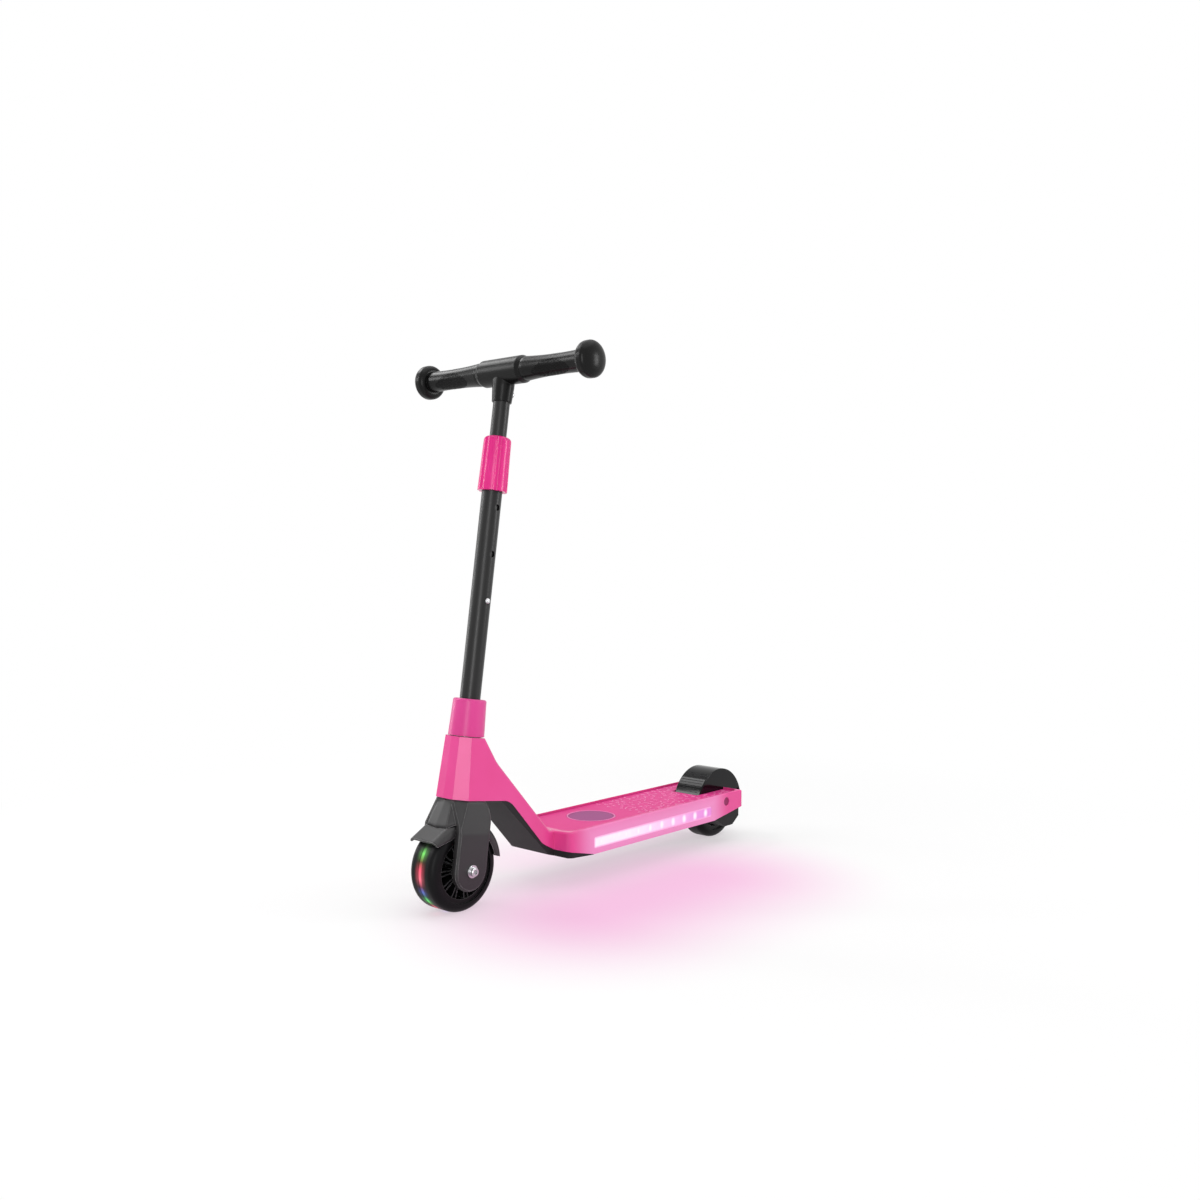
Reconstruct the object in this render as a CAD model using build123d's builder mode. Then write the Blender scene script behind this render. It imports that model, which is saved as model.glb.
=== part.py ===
from build123d import *
import os
from math import cos, pi, radians, sin, sqrt, tan

os.makedirs("parts", exist_ok=True)

# All sizes are millimetres. X is forward, Y is left, Z is up, and the floor is Z = 0.

# Fits and running gaps
fit = 0.05            # radial play of a pin, a bearing or a pressed tube
slip = 0.3            # gap between moulded pieces and round moving pieces
seam = 0.5            # open seam between the body shell and the chassis

# Wheels
front_radius = 57.0
front_width = 48.0
rear_radius = 54.0
rear_width = 38.0
wheelbase = 563.0
tyre_depth = 12.0     # radial thickness of a tyre
tyre_shoulder = 10.0
rim_depth = 6.0       # radial thickness of the rim's outer ring
hub_radius = 15.0
hub_inset = 1.0       # hub face behind the tyre's side
rim_inset = 2.5       # rim face behind the tyre's side
web_thickness = 3.0
spoke_thickness = 1.6
spoke_pairs = 11
spoke_spread = 5.0    # degrees between the centre of a pair and each spoke
band_width = 8.0      # light band in the front tread
band_depth = 4.0
band_sink = 0.3
led_ring_thickness = 1.0
bearing_outer = 22.0
bearing_width = 7.0
axle_diameter = 8.0
axle_tube_wall = 1.5
spacer_radius = 6.5
axle_head_radius = 6.0
axle_head_height = 5.5
axle_washer_radius = 8.4
axle_washer_height = 1.6
axle_socket_width = 6.0
nut_width = 13.0
nut_height = 6.5

# Steering: the axis leans back and passes just ahead of the front axle
lean = radians(8.5)
axle_setback = 2.0
guard_gap = 5.0       # air between the front tyre and the mudguard
guard_thickness = 3.0
skirt_thickness = 2.0
skirt_gap = 1.5       # air between the tyre's side and the mudguard skirt
skirt_depth = 14.0
guard_front_angle = 52.0
guard_rear_angle = 168.0
guard_tail = 10.0      # degrees, inner corner of the rear end ahead of its tip
guard_flap = 24.0
guard_round = 9.0      # shoulders of the mudguard
visor_fall = 21.4      # degrees, lower edge of the front flap below the forward line
guard_screw_angles = (68.0, 112.0)
leg_gap = 0.5         # between the skirt and the fork leg
leg_thickness = 9.5
leg_width = 54.0
leg_top_round = 44.0
leg_bend = 28.0        # the legs' rear edges draw in over this height below the head
leg_edge = 2.5
leg_taper = 48.0       # above this height the legs draw in towards the head
leg_taper_front = 40.0
crown_height = 26.0
crown_inset = 0.8      # crown inside the outline of the head
crown_step = 3.0       # crown behind the faces of the legs
crown_front = 36.0
crown_rear = 18.0
crown_corner = 14.0
head_gap = 1.0
head_height = 82.0
head_width_top = 51.0
head_width_bottom = 63.0
head_front_top = 24.0 # head's front faces ahead of the steering axis
head_front_bottom = 27.0
head_chamfer_top = 11.5
head_chamfer_bottom = 15.0
head_ridge = 1.5      # crease down the middle of the head's front
head_back = 6.0       # head's outline runs on behind the steering axis, into the neck
steerer_diameter = 24.0
steerer_wall = 3.0
steerer_grip = 36.0   # overlap of the stem on the steerer
head_tube_diameter = 42.0
head_tube_wall = 3.0
head_bearing_height = 9.0
spacer_height = 4.0
spacer_wall = 4.0

# Stem
lower_diameter = 28.0
upper_diameter = 23.0
tube_wall = 1.8
head_collar_height = 49.5
head_collar_bottom = 24.4
head_collar_top = 22.4
head_collar_round = 3.0
cross_pin_diameter = 6.0
button_rise = 183.0   # snap button above the top of the head
hole_pitch = 63.5
hole_count = 3
button_diameter = 8.0
button_play = 0.5
button_proud = 2.2
button_flange = 1.4
button_flange_radius = 5.5
snap_strip = 0.8
snap_strip_width = 8.0
snap_leg = 22.0
snap_bend = 5.0
end_bush_length = 10.0
end_bush_lip = 3.0
tube_below_button = 20.0
twist_height = 75.0
twist_rise = 22.5     # twist collar above the top hole
twist_bottom_radius = 20.3
twist_top_radius = 18.7
twist_round = 6.0
twist_cap = 10.0      # closed top of the twist collar
flute_count = 6
flute_radius = 6.0
flute_depth = 2.0
bush_flange = 10.0
bush_spigot = 20.0
bush_slot = 2.0
neck_reveal = 48.5    # bare upper tube between twist collar and tee
tee_drop = 43.0       # bar axis above the tee's lower edge
tee_bottom_radius = 13.6
tee_sleeve_radius = 15.2
tee_bar_radius = 18.8
tee_half_length = 43.0
tee_bevel = 6.0
tee_bevel_step = 2.4
tube_stop = 4.0       # wall between the upper tube and the cross bar
bar_diameter = 22.0
bar_wall = 2.0
bar_half_length = 148.0
tee_screw_radius = 2.5
tee_screw_head = 4.5
tee_screw_height = 3.0

# Grips
grip_gap = 0.4
grip_flange_radius = 16.2
grip_flange = 4.0
grip_waist_radius = 14.0
grip_outer_radius = 15.0
knob_radius = 24.4
knob_width = 12.5      # from the inner face to the widest ring
knob_dome = 11.0
knob_inner_round = 8.0

# Deck and neck
deck_setback = 155.0  # deck's front wall behind the front axle
deck_width = 122.0
deck_rake = 7.0       # front corners sweep back
deck_corner = 9.0
deck_bottom = 43.7
rim_height = 83.2
deck_overhang = 12.0  # deck behind the rear axle
rim_width = 4.0
rim_front = 11.0
rim_edge = 3.0
tray_depth = 3.2
tray_corner = 16.0
mat_thickness = 1.2
wall = 3.0
neck_start = 13.9     # neck leaves the head this far behind the steering axis
neck_kink = 19.2
neck_kink_drop = 34.3
neck_land = 4.3       # neck slope meets the rim's level ahead of the deck's front wall
neck_top_round = 70.0
neck_foot_round = 17.0
neck_edge = 5.0
neck_under = 64.0     # underside of the head ends behind the steering axis
neck_under_round = 30.0
hull_shoulder = 21.7
hull_shoulder_rise = 25.2
hull_shoulder_round = 26.0
hull_corner_rise = 13.5
hull_run = 58.0
hull_nose = 11.5
hull_nose_rise = 8.1
hull_nose_round = 3.0
hull_keel = 6.0
hull_keel_rise = 3.0
hull_top = 48.0
plate_thickness = 3.0
plate_drop = 0.4      # chassis underside below the body shell's edge

# Rear end
slot_half_width = 26.5
slot_gap = 3.0        # slot's front wall ahead of the fender
arm_inner_wall = 6.5
arm_outer_wall = 4.0
arm_reveal = 4.0      # chassis arm stops short of the deck's rear end
arm_drop = 15.0       # arm reaches below the chassis plate
arm_run = 55.0
arm_toe = 30.0
arm_floor = 6.0
arm_round = 9.0
rear_sweep = 75.0     # body shell's lower edge rises over this length
rear_sweep_rise = 12.0
fender_gap = 3.5
fender_thickness = 3.5
fender_half_width = 25.5
fender_side = 2.5
fender_front_angle = 20.0
fender_rear_angle = 14.0
fender_front_low = -1.6  # lower side edge, from the height of the pivot
fender_rear_low = 7.0
fender_round = 1.5
fender_boss = 9.0
groove_count = 8
groove_first = 27.0      # degrees up from the fender's forward line
groove_step = 5.0
groove_margin = 4.0
groove_width = 1.4
groove_depth = 0.7
pivot_ahead = 30.0    # pivot ahead of the rear axle
pivot_cover = 0.7     # air above the pivot screw's head, under the tray
pivot_diameter = 6.0
pivot_head_radius = 5.5
pivot_head_height = 4.0
plug_radius = 7.0
plug_thickness = 2.4
plug_sink = 1.2
buffer_back = 1.0     # ledge of the return buffer behind the axle's spacers
buffer_length = 9.0
buffer_height = 10.0
buffer_squash = 0.3
ledge_height = 6.0

# Lights and electrics
lens_front = 57.0     # behind the deck's front wall
lens_rear = 41.0      # ahead of the fender pivot
lens_bottom = 51.6
lens_height = 16.8
lens_round = 4.0
lens_flange = 2.0
lens_sink = 0.2
lens_skin = 1.8
led_count = 10
led_size = 5.0
led_height = 1.4
board_thickness = 1.2
disc_back = 117.0     # foot switch behind the deck's front wall
disc_radius = 34.0
disc_thickness = 5.0
disc_travel = 2.0
ring_width = 2.4
ring_proud = 0.6
cup_depth = 17.0
cup_wall = 2.5
disc_proud = 0.2
disc_edge = 1.0
disc_post = 4.0
dome_radius = 12.0
dome_top = 9.0
dome_wall = 1.6
contact_size = 8.0
contact_height = 4.0
contact_plunger = 1.0
battery_gap = 10.0    # behind the cup of the foot switch
battery_length = 72.0
battery_width = 42.0
battery_height = 18.5
battery_round = 8.0
controller_length = 40.0
controller_width = 56.0
standoff_height = 4.0
standoff_radius = 3.0
chip_size = 12.0
chip_height = 2.5
connector_size = 6.0
connector_height = 4.6
door_length = 92.0
door_width = 62.0
door_round = 6.0
door_lap = 4.0
screw_diameter = 4.0
screw_head_radius = 3.6
screw_head_height = 2.0
screw_length = 14.0
boss_radius = 5.0
screw_rows = 4
screw_start = 66.0    # first row behind the deck's front wall
screw_end = 26.0      # last row ahead of the wheel slot
boss_gap = 3.65       # between a screw boss and a light board
wire_radius = 1.1
wire_bend = 6.0
wire_row = 8.0

# Places that follow from the sizes above
fender_inner = rear_radius + fender_gap
fender_outer = fender_inner + fender_thickness
fender_reach = fender_outer * cos(radians(fender_rear_angle))
front_x = (wheelbase + fender_reach - front_radius) / 2
rear_x = front_x - wheelbase
axle_radius = axle_diameter / 2
deck_front = front_x - deck_setback
deck_rear = rear_x - deck_overhang
deck_half = deck_width / 2
tray_floor = rim_height - tray_depth
shell_floor = tray_floor - mat_thickness
cavity_top = shell_floor - wall
slot_front = rear_x + fender_outer + slot_gap
chassis_bottom = deck_bottom - plate_drop
plate_top = chassis_bottom + plate_thickness
pivot_x = rear_x + pivot_ahead
pivot_z = cavity_top - pivot_head_radius - pivot_cover
pivot_rise = pivot_z - rear_radius
lens_length = deck_front - lens_front - pivot_x - lens_rear
flange_outer = deck_half - wall - slip / 2
flange_inner = flange_outer - lens_flange
screw_track = 2 * (flange_inner - board_thickness - boss_gap - boss_radius)
screw_pitch = (deck_front - screw_start - slot_front - screw_end) / (screw_rows - 1)
disc_x = deck_front - disc_back
cup_bore = disc_radius + 2 * slip
cup_outer = cup_bore + cup_wall
battery_x = disc_x - cup_outer - battery_gap - battery_length / 2
battery_rear = battery_x - battery_length / 2
controller_x = (battery_rear + slot_front + wall) / 2
controller_front = controller_x + controller_length / 2
socket_x = controller_front - connector_size / 2

guard_inner = front_radius + guard_gap
guard_outer = guard_inner + guard_thickness
skirt_outer = front_width / 2 + skirt_gap + skirt_thickness
leg_inner = skirt_outer + leg_gap
leg_outer = leg_inner + leg_thickness
head_bottom = guard_outer + crown_height
head_top = head_bottom + head_height
leg_top = head_bottom + leg_top_round - leg_bend
neck_draft = (head_width_bottom - head_width_top) / 2 / head_height
stem_foot = head_top + spacer_height
head_collar_v = head_top + head_gap
button_v = head_top + button_rise
top_hole_v = button_v + hole_pitch * (hole_count - 1)
twist_v = top_hole_v + twist_rise
twist_top_v = twist_v + twist_height
lower_top_v = twist_top_v - twist_cap - bush_flange - slip
tee_v = twist_top_v + neck_reveal
bar_v = tee_v + tee_drop
upper_foot_v = button_v - tube_below_button
upper_top_v = bar_v - bar_diameter / 2 - tube_stop
lower_radius = lower_diameter / 2
lower_bore = lower_radius - tube_wall
upper_radius = upper_diameter / 2
upper_bore = upper_radius - tube_wall
steerer_radius = steerer_diameter / 2

# Frames: along the steering axis, and in the side view
forward = Vector(cos(lean), 0, sin(lean))
upward = Vector(-sin(lean), 0, cos(lean))
front_axle = Vector(front_x, 0, front_radius)
rear_axle = Vector(rear_x, 0, rear_radius)
steer_origin = front_axle + forward * axle_setback
steer = Plane(origin=steer_origin, x_dir=forward, z_dir=upward)
steer_side = Plane(origin=steer_origin, x_dir=forward, z_dir=(0, -1, 0))
steer_across = Plane(origin=steer_origin, x_dir=(0, 1, 0), z_dir=forward)
steer_axis = Axis(steer_origin, upward)
bar_centre = steer_origin + upward * bar_v
bar_plane = Plane(origin=bar_centre, x_dir=(0, 1, 0), z_dir=forward)
bar_axis = Axis(bar_centre, (0, 1, 0))
rear_side = Plane(origin=rear_axle, x_dir=(1, 0, 0), z_dir=(0, -1, 0))


def steer_point(u, v):
    """Point of the side view, u ahead of the steering axis and v along it."""
    place = steer_origin + forward * u + upward * v
    return (place.X, place.Z)


def steer_height(place):
    """Height along the steering axis of a point of the side view."""
    return (place[0] - steer_origin.X) * upward.X + (place[1] - steer_origin.Z) * upward.Z


def neck_side(v):
    """Half width between the drafted sides of the head and neck at height v."""
    return head_width_bottom / 2 - neck_draft * (v - head_bottom)


def beside_neck(way):
    """Room beside the drafted side of the head and neck, way -1 or 1, seen along forward."""
    with BuildLine() as edge:
        Polyline((way * neck_side(-head_top), -head_top), (way * neck_side(2 * head_top), 2 * head_top),
                 (way * deck_width, 2 * head_top), (way * deck_width, -head_top), close=True)
    make_face(edge.edges())


def head_outline(front, half, chamfer, back):
    """Plan of the head: creased front, bevelled corners and straight sides."""
    with BuildLine() as edge:
        Polyline((front + head_ridge, 0), (front, half - chamfer), (front - chamfer, half), (-back, half),
                 (-back, -half), (front - chamfer, -half), (front, chamfer - half), close=True)
    make_face(edge.edges())


def save(piece, name):
    """Label a finished piece and write it."""
    piece.label = name
    export_step(piece, "parts/" + name + ".step")


def spin_plane(axle):
    """Half plane of a wheel: X across the wheel, Y outwards from its axle."""
    return Plane(origin=axle, x_dir=(0, 1, 0), z_dir=(1, 0, 0))


def tube(plane, axis, outer, inner, low, high):
    """Round tube about an axis, from low to high along it."""
    with BuildPart() as piece:
        with BuildSketch(plane):
            with Locations(((outer + inner) / 2, (low + high) / 2)):
                Rectangle(outer - inner, high - low)
        revolve(axis=axis)
    return piece.part


def ring(axle, outer, inner, low, high):
    """Round ring about a wheel axle, from low to high across it."""
    with BuildPart() as piece:
        with BuildSketch(spin_plane(axle)):
            with Locations(((low + high) / 2, (outer + inner) / 2)):
                Rectangle(high - low, outer - inner)
        revolve(axis=Axis(axle, (0, 1, 0)))
    return piece.part


def group(pieces):
    """Several separate solids in one node."""
    return Compound(children=pieces)


# Wheels

def make_tyre(axle, radius, width, groove):
    """Solid tyre with round shoulders and, where lit, a groove for the light band."""
    with BuildPart() as tyre:
        with BuildSketch(spin_plane(axle)) as section:
            with Locations((0, radius - tyre_depth / 2)):
                Rectangle(width, tyre_depth)
            fillet(section.vertices().group_by(Axis.Y)[-1], tyre_shoulder)
            if groove > 0:
                with Locations((0, radius - groove / 2)):
                    Rectangle(band_width + 2 * fit, groove, mode=Mode.SUBTRACT)
        revolve(axis=Axis(axle, (0, 1, 0)))
    return tyre.part


def make_rim(axle, radius, width):
    """Hub, outer ring, centre web and twin spokes of a wheel."""
    rim_radius = radius - tyre_depth
    ring_inner = rim_radius - rim_depth
    hub_width = width - 2 * hub_inset
    ring_width_across = width - 2 * rim_inset
    side = Plane(origin=axle, x_dir=(1, 0, 0), z_dir=(0, -1, 0))
    spoke_length = ring_inner - hub_radius + 2
    with BuildPart() as rim:
        with BuildSketch(spin_plane(axle)):
            with Locations((0, hub_radius / 2)):
                Rectangle(hub_width, hub_radius)
            with Locations((0, rim_radius - rim_depth / 2)):
                Rectangle(ring_width_across, rim_depth)
            with Locations((0, (hub_radius + rim_radius) / 2)):
                Rectangle(web_thickness, rim_radius - hub_radius)
        revolve(axis=Axis(axle, (0, 1, 0)))
        for turn in (-spoke_spread, spoke_spread):
            with BuildSketch(side):
                with PolarLocations((ring_inner + hub_radius) / 2, spoke_pairs, start_angle=turn):
                    Rectangle(spoke_length, spoke_thickness)
            extrude(amount=ring_width_across / 2 - rim_inset, both=True)
        with BuildSketch(side):
            Circle(axle_radius + axle_tube_wall + slip)
        extrude(amount=width, both=True, mode=Mode.SUBTRACT)
        for way in (-1, 1):
            with BuildSketch(side.offset(way * hub_width / 2)):
                Circle(bearing_outer / 2 + fit)
            extrude(amount=-way * bearing_width, mode=Mode.SUBTRACT)
    return rim.part


def make_bearings(axle, width):
    """Pair of ball bearings pressed into the hub's ends."""
    face = width / 2 - hub_inset
    inner = axle_radius + fit
    near = ring(axle, bearing_outer / 2, inner, face - bearing_width, face)
    far = ring(axle, bearing_outer / 2, inner, -face, bearing_width - face)
    return group([near, far])


def make_axle_tube(axle, width):
    """Tube between the bearings' inner races."""
    reach = width / 2 - hub_inset - bearing_width - fit
    return ring(axle, axle_radius + axle_tube_wall, axle_radius + fit, -reach, reach)


def make_axle_spacers(axle, width, carrier):
    """Spacers from the bearings out to the fork leg or the chassis arm."""
    face = width / 2 - hub_inset + fit
    near = ring(axle, spacer_radius, axle_radius + fit, face, carrier)
    far = ring(axle, spacer_radius, axle_radius + fit, -carrier, -face)
    return group([near, far])


def make_axle_bolt(axle, seat, tail):
    """Axle bolt with a round socket head on the left."""
    with BuildPart() as bolt:
        with BuildSketch(spin_plane(axle)) as section:
            with Locations(((seat - tail) / 2, axle_radius / 2)):
                Rectangle(seat + tail, axle_radius)
            with Locations((seat + axle_head_height / 2, axle_head_radius / 2)):
                Rectangle(axle_head_height, axle_head_radius)
        revolve(axis=Axis(axle, (0, 1, 0)))
        head = bolt.faces().sort_by(Axis.Y)[-1]
        chamfer(head.edges(), axle_head_height / 5)
        with BuildSketch(Plane(origin=axle + Vector(0, seat + axle_head_height, 0), z_dir=(0, 1, 0))):
            RegularPolygon(axle_socket_width / 2, 6, major_radius=False)
        extrude(amount=-axle_head_height * 0.6, mode=Mode.SUBTRACT)
    return bolt.part


def make_axle_nut(axle, seat):
    """Hexagon nut on the right end of an axle bolt."""
    with BuildPart() as nut:
        with BuildSketch(Plane(origin=axle - Vector(0, seat, 0), z_dir=(0, -1, 0))):
            RegularPolygon(nut_width / 2, 6, major_radius=False)
            Circle(axle_radius + fit, mode=Mode.SUBTRACT)
        extrude(amount=nut_height)
        edges = nut.faces().sort_by(Axis.Y)[0].outer_wire().edges()
        chamfer(edges, nut_height / 8)
    return nut.part


led_bore = front_radius - band_depth - led_ring_thickness - fit
save(make_tyre(front_axle, front_radius, front_width, front_radius - led_bore), "front_tyre")
save(make_rim(front_axle, front_radius, front_width), "front_rim")
save(ring(front_axle, front_radius - band_sink, front_radius - band_depth,
          -band_width / 2, band_width / 2), "front_light_band")
save(ring(front_axle, led_bore + led_ring_thickness, led_bore + fit,
          -band_width / 2, band_width / 2), "front_led_ring")
save(make_bearings(front_axle, front_width), "front_bearings")
save(make_axle_tube(front_axle, front_width), "front_axle_tube")
save(make_axle_spacers(front_axle, front_width, leg_inner), "front_axle_spacers")

save(make_tyre(rear_axle, rear_radius, rear_width, 0), "rear_tyre")
save(make_rim(rear_axle, rear_radius, rear_width), "rear_rim")
save(make_bearings(rear_axle, rear_width), "rear_bearings")
save(make_axle_tube(rear_axle, rear_width), "rear_axle_tube")
save(make_axle_spacers(rear_axle, rear_width, slot_half_width), "rear_axle_spacers")

arm_seat = slot_half_width + arm_inner_wall
washer_seat = leg_outer + axle_washer_height
save(make_axle_bolt(front_axle, washer_seat, washer_seat + nut_height + 2), "front_axle_bolt")
save(make_axle_nut(front_axle, washer_seat), "front_axle_nut")
save(group([ring(front_axle, axle_washer_radius, axle_radius + fit, leg_outer, washer_seat),
            ring(front_axle, axle_washer_radius, axle_radius + fit, -washer_seat, -leg_outer)]),
     "front_axle_washers")
save(make_axle_bolt(rear_axle, arm_seat, arm_seat + nut_height + 2), "rear_axle_bolt")
save(make_axle_nut(rear_axle, arm_seat), "rear_axle_nut")


# Fork and mudguard

axle_centre = (-axle_setback, 0)


def guard_plane(turn, radius):
    """Plane square to a radius of the front wheel, turn degrees up from the fork's forward line."""
    radial = forward * cos(radians(turn)) + upward * sin(radians(turn))
    return Plane(origin=front_axle + radial * radius, x_dir=(0, 1, 0), z_dir=radial)


def guard_point(radius, turn):
    """Point of the fork's side view on a circle about the front axle, turn in degrees."""
    return (radius * cos(radians(turn)) - axle_setback, radius * sin(radians(turn)))


def fork_room(inset):
    """Room that draws in from the legs to the underside of the head, less an inset all round."""
    with BuildPart() as room:
        with BuildSketch(steer.offset(leg_taper)):
            head_outline(leg_taper_front - inset, leg_outer - inset, crown_corner, leg_width)
        with BuildSketch(steer.offset(head_bottom - head_gap)):
            head_outline(head_front_bottom - crown_inset - inset, head_width_bottom / 2 - crown_inset - inset,
                         head_chamfer_bottom, leg_width)
        loft(ruled=True)
        with BuildSketch(steer.offset(leg_taper)):
            Rectangle(4 * leg_width, 2 * leg_outer)
        extrude(amount=-leg_taper - leg_width)
    return room.part


mouth_turn = radians(guard_front_angle)
mouth_top = guard_point(guard_outer + fit, guard_front_angle)
visor_top = (mouth_top[0] + guard_flap * sin(mouth_turn), mouth_top[1] - guard_flap * cos(mouth_turn))

with BuildPart() as crown:
    with BuildSketch(steer.offset(leg_taper)):
        with Locations((crown_front - crown_rear / 2, 0)):
            Rectangle(2 * crown_front + crown_rear, 2 * leg_outer)
    extrude(amount=head_bottom - head_gap - leg_taper)
    add(fork_room(crown_step), mode=Mode.INTERSECT)
    with BuildSketch(steer_side):
        with Locations(axle_centre):
            Circle(guard_outer + fit)
        with BuildLine():
            Polyline(axle_centre, mouth_top, visor_top, close=True)
        make_face()
    extrude(amount=leg_outer, both=True, mode=Mode.SUBTRACT)

with BuildPart() as fork:
    with BuildSketch(steer_side) as leg:
        with Locations((-axle_setback, leg_top / 2)):
            Rectangle(leg_width, leg_top)
        fillet(leg.vertices().group_by(Axis.Y)[-1].sort_by(Axis.X)[0], leg_top_round)
        with Locations(axle_centre):
            Circle(leg_width / 2)
    extrude(amount=leg_outer, both=True)
    chamfer(fork.faces().sort_by(Axis.Y)[-1].edges(), leg_edge)
    chamfer(fork.faces().sort_by(Axis.Y)[0].edges(), leg_edge)
    add(fork_room(0), mode=Mode.INTERSECT)
    add(crown.part)
    with BuildSketch(steer_side):
        with Locations(axle_centre):
            Circle(guard_outer + fit)
    extrude(amount=leg_inner, both=True, mode=Mode.SUBTRACT)
    with BuildSketch(steer_side):
        with Locations(axle_centre):
            Circle(axle_radius + fit)
    extrude(amount=leg_outer + 1, both=True, mode=Mode.SUBTRACT)
    with BuildSketch(steer.offset(guard_outer + guard_thickness)):
        Circle(steerer_radius + fit)
    extrude(amount=crown_height, mode=Mode.SUBTRACT)
    for turn in guard_screw_angles:
        with BuildSketch(guard_plane(turn, guard_inner)):
            Circle(screw_diameter / 2 + fit)
        extrude(amount=screw_length, mode=Mode.SUBTRACT)
save(fork.part, "fork")


def sector(centre, outer_radius, inner_radius, first, last):
    """Face between two arcs about a centre, from the first angle to the last in degrees."""
    with BuildLine() as edge:
        outer = CenterArc(centre, outer_radius, first, last - first)
        inner = CenterArc(centre, inner_radius, first, last - first)
        Line(outer @ 0, inner @ 0)
        Line(outer @ 1, inner @ 1)
    make_face(edge.edges())


def guard_arch(arch):
    """Cross section of the mudguard: a crown with round shoulders and two skirts."""
    with Locations((0, guard_outer - skirt_depth / 2)):
        Rectangle(2 * skirt_outer, skirt_depth)
    fillet(arch.vertices().group_by(Axis.Y)[-1], guard_round)
    with Locations((0, guard_inner - skirt_depth)):
        RectangleRounded(2 * (skirt_outer - skirt_thickness), 2 * skirt_depth,
                         guard_round - skirt_thickness, mode=Mode.SUBTRACT)


guard_mouth = Plane(origin=front_axle, x_dir=(0, 1, 0),
                    z_dir=forward * sin(mouth_turn) - upward * cos(mouth_turn))
skirt_radius = guard_outer - skirt_depth
visor_root = guard_point(skirt_radius, guard_front_angle)
visor_end = (visor_root[0] + 2 * guard_flap, visor_root[1] - 2 * guard_flap * tan(radians(visor_fall)))
tail_tip = guard_point(guard_outer + guard_thickness, guard_rear_angle)
tail_root = guard_point(skirt_radius - guard_thickness, guard_rear_angle - guard_tail)

with BuildPart() as mudguard:
    with BuildSketch(guard_mouth) as arch:
        guard_arch(arch)
    revolve(axis=Axis(front_axle, (0, -1, 0)), revolution_arc=guard_rear_angle - guard_front_angle)
    with BuildSketch(guard_mouth) as flap:
        guard_arch(flap)
    extrude(amount=guard_flap)
    with BuildSketch(steer_side):
        with BuildLine():
            Polyline(visor_root, visor_end, (visor_end[0], -front_radius), (visor_root[0], -front_radius),
                     close=True)
        make_face()
        with BuildLine():
            Polyline(tail_root, tail_tip, (tail_tip[0], -front_radius), (tail_root[0], -front_radius),
                     close=True)
        make_face()
    extrude(amount=leg_outer, both=True, mode=Mode.SUBTRACT)
    for turn in guard_screw_angles:
        with BuildSketch(guard_plane(turn, guard_inner - guard_thickness)):
            Circle(screw_diameter / 2 + fit)
        extrude(amount=3 * guard_thickness, mode=Mode.SUBTRACT)
save(mudguard.part, "front_mudguard")

guard_screws = []
for turn in guard_screw_angles:
    seat = guard_inner - slip
    with BuildPart() as guard_screw:
        with BuildSketch(guard_plane(turn, seat)):
            Circle(screw_head_radius)
        extrude(amount=-screw_head_height)
        with BuildSketch(guard_plane(turn, seat)):
            Circle(screw_diameter / 2)
        extrude(amount=screw_length - 1)
    guard_screws.append(guard_screw.part)
save(group(guard_screws), "mudguard_screws")


# Head: bearings, steerer and collar

head_tube_radius = head_tube_diameter / 2
head_bore = head_tube_radius - head_tube_wall
save(tube(steer_side, steer_axis, head_tube_radius, head_bore, head_bottom, head_top), "head_tube")
upper_bearing_v = head_top - head_bearing_height
for name, low in (("lower_head_bearing", head_bottom), ("upper_head_bearing", upper_bearing_v)):
    race = tube(steer_side, steer_axis, head_bore - fit, steerer_radius + fit, low, low + head_bearing_height)
    save(race, name)
save(tube(steer_side, steer_axis, steerer_radius + spacer_wall, steerer_radius + fit,
          head_top + fit, stem_foot), "head_spacer")

with BuildPart() as head_collar:
    with BuildSketch(steer_side):
        with BuildLine():
            Polyline((lower_radius + fit, stem_foot),
                     (lower_radius + fit, head_collar_v + head_collar_height),
                     (head_collar_top, head_collar_v + head_collar_height),
                     (head_collar_bottom, head_collar_v),
                     (steerer_radius + spacer_wall + slip, head_collar_v),
                     (steerer_radius + spacer_wall + slip, stem_foot), close=True)
        make_face()
    revolve(axis=steer_axis)
    rim_edges = head_collar.edges().filter_by(GeomType.CIRCLE).group_by(steer_axis)[-1]
    fillet(rim_edges.sort_by(SortBy.RADIUS)[-1], head_collar_round)
save(head_collar.part, "head_collar")


# Stem tubes

with BuildPart() as lower_stem:
    with BuildSketch(steer_side):
        with Locations((lower_radius - tube_wall / 2, (stem_foot + lower_top_v) / 2)):
            Rectangle(tube_wall, lower_top_v - stem_foot)
    revolve(axis=steer_axis)
    with BuildSketch(steer_side):
        with Locations((0, (button_v + top_hole_v) / 2)):
            with GridLocations(0, hole_pitch, 1, hole_count):
                Circle((button_diameter + button_play) / 2)
    extrude(amount=-lower_diameter, mode=Mode.SUBTRACT)
    pin_v = stem_foot + steerer_grip / 2
    with BuildSketch(steer_side):
        with Locations((0, pin_v)):
            Circle(cross_pin_diameter / 2 + fit)
    extrude(amount=lower_diameter, both=True, mode=Mode.SUBTRACT)
save(lower_stem.part, "lower_stem")

with BuildPart() as cross_pin:
    with BuildSketch(steer_side):
        with Locations((0, pin_v)):
            Circle(cross_pin_diameter / 2)
    extrude(amount=lower_radius - slip, both=True)
save(cross_pin.part, "stem_cross_pin")

with BuildPart() as steerer:
    add(tube(steer_side, steer_axis, steerer_radius, steerer_radius - steerer_wall,
             guard_outer + guard_thickness, stem_foot + steerer_grip))
    with BuildSketch(steer_side):
        with Locations((0, pin_v)):
            Circle(cross_pin_diameter / 2 + fit)
    extrude(amount=lower_diameter, both=True, mode=Mode.SUBTRACT)
save(steerer.part, "steerer")

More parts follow.
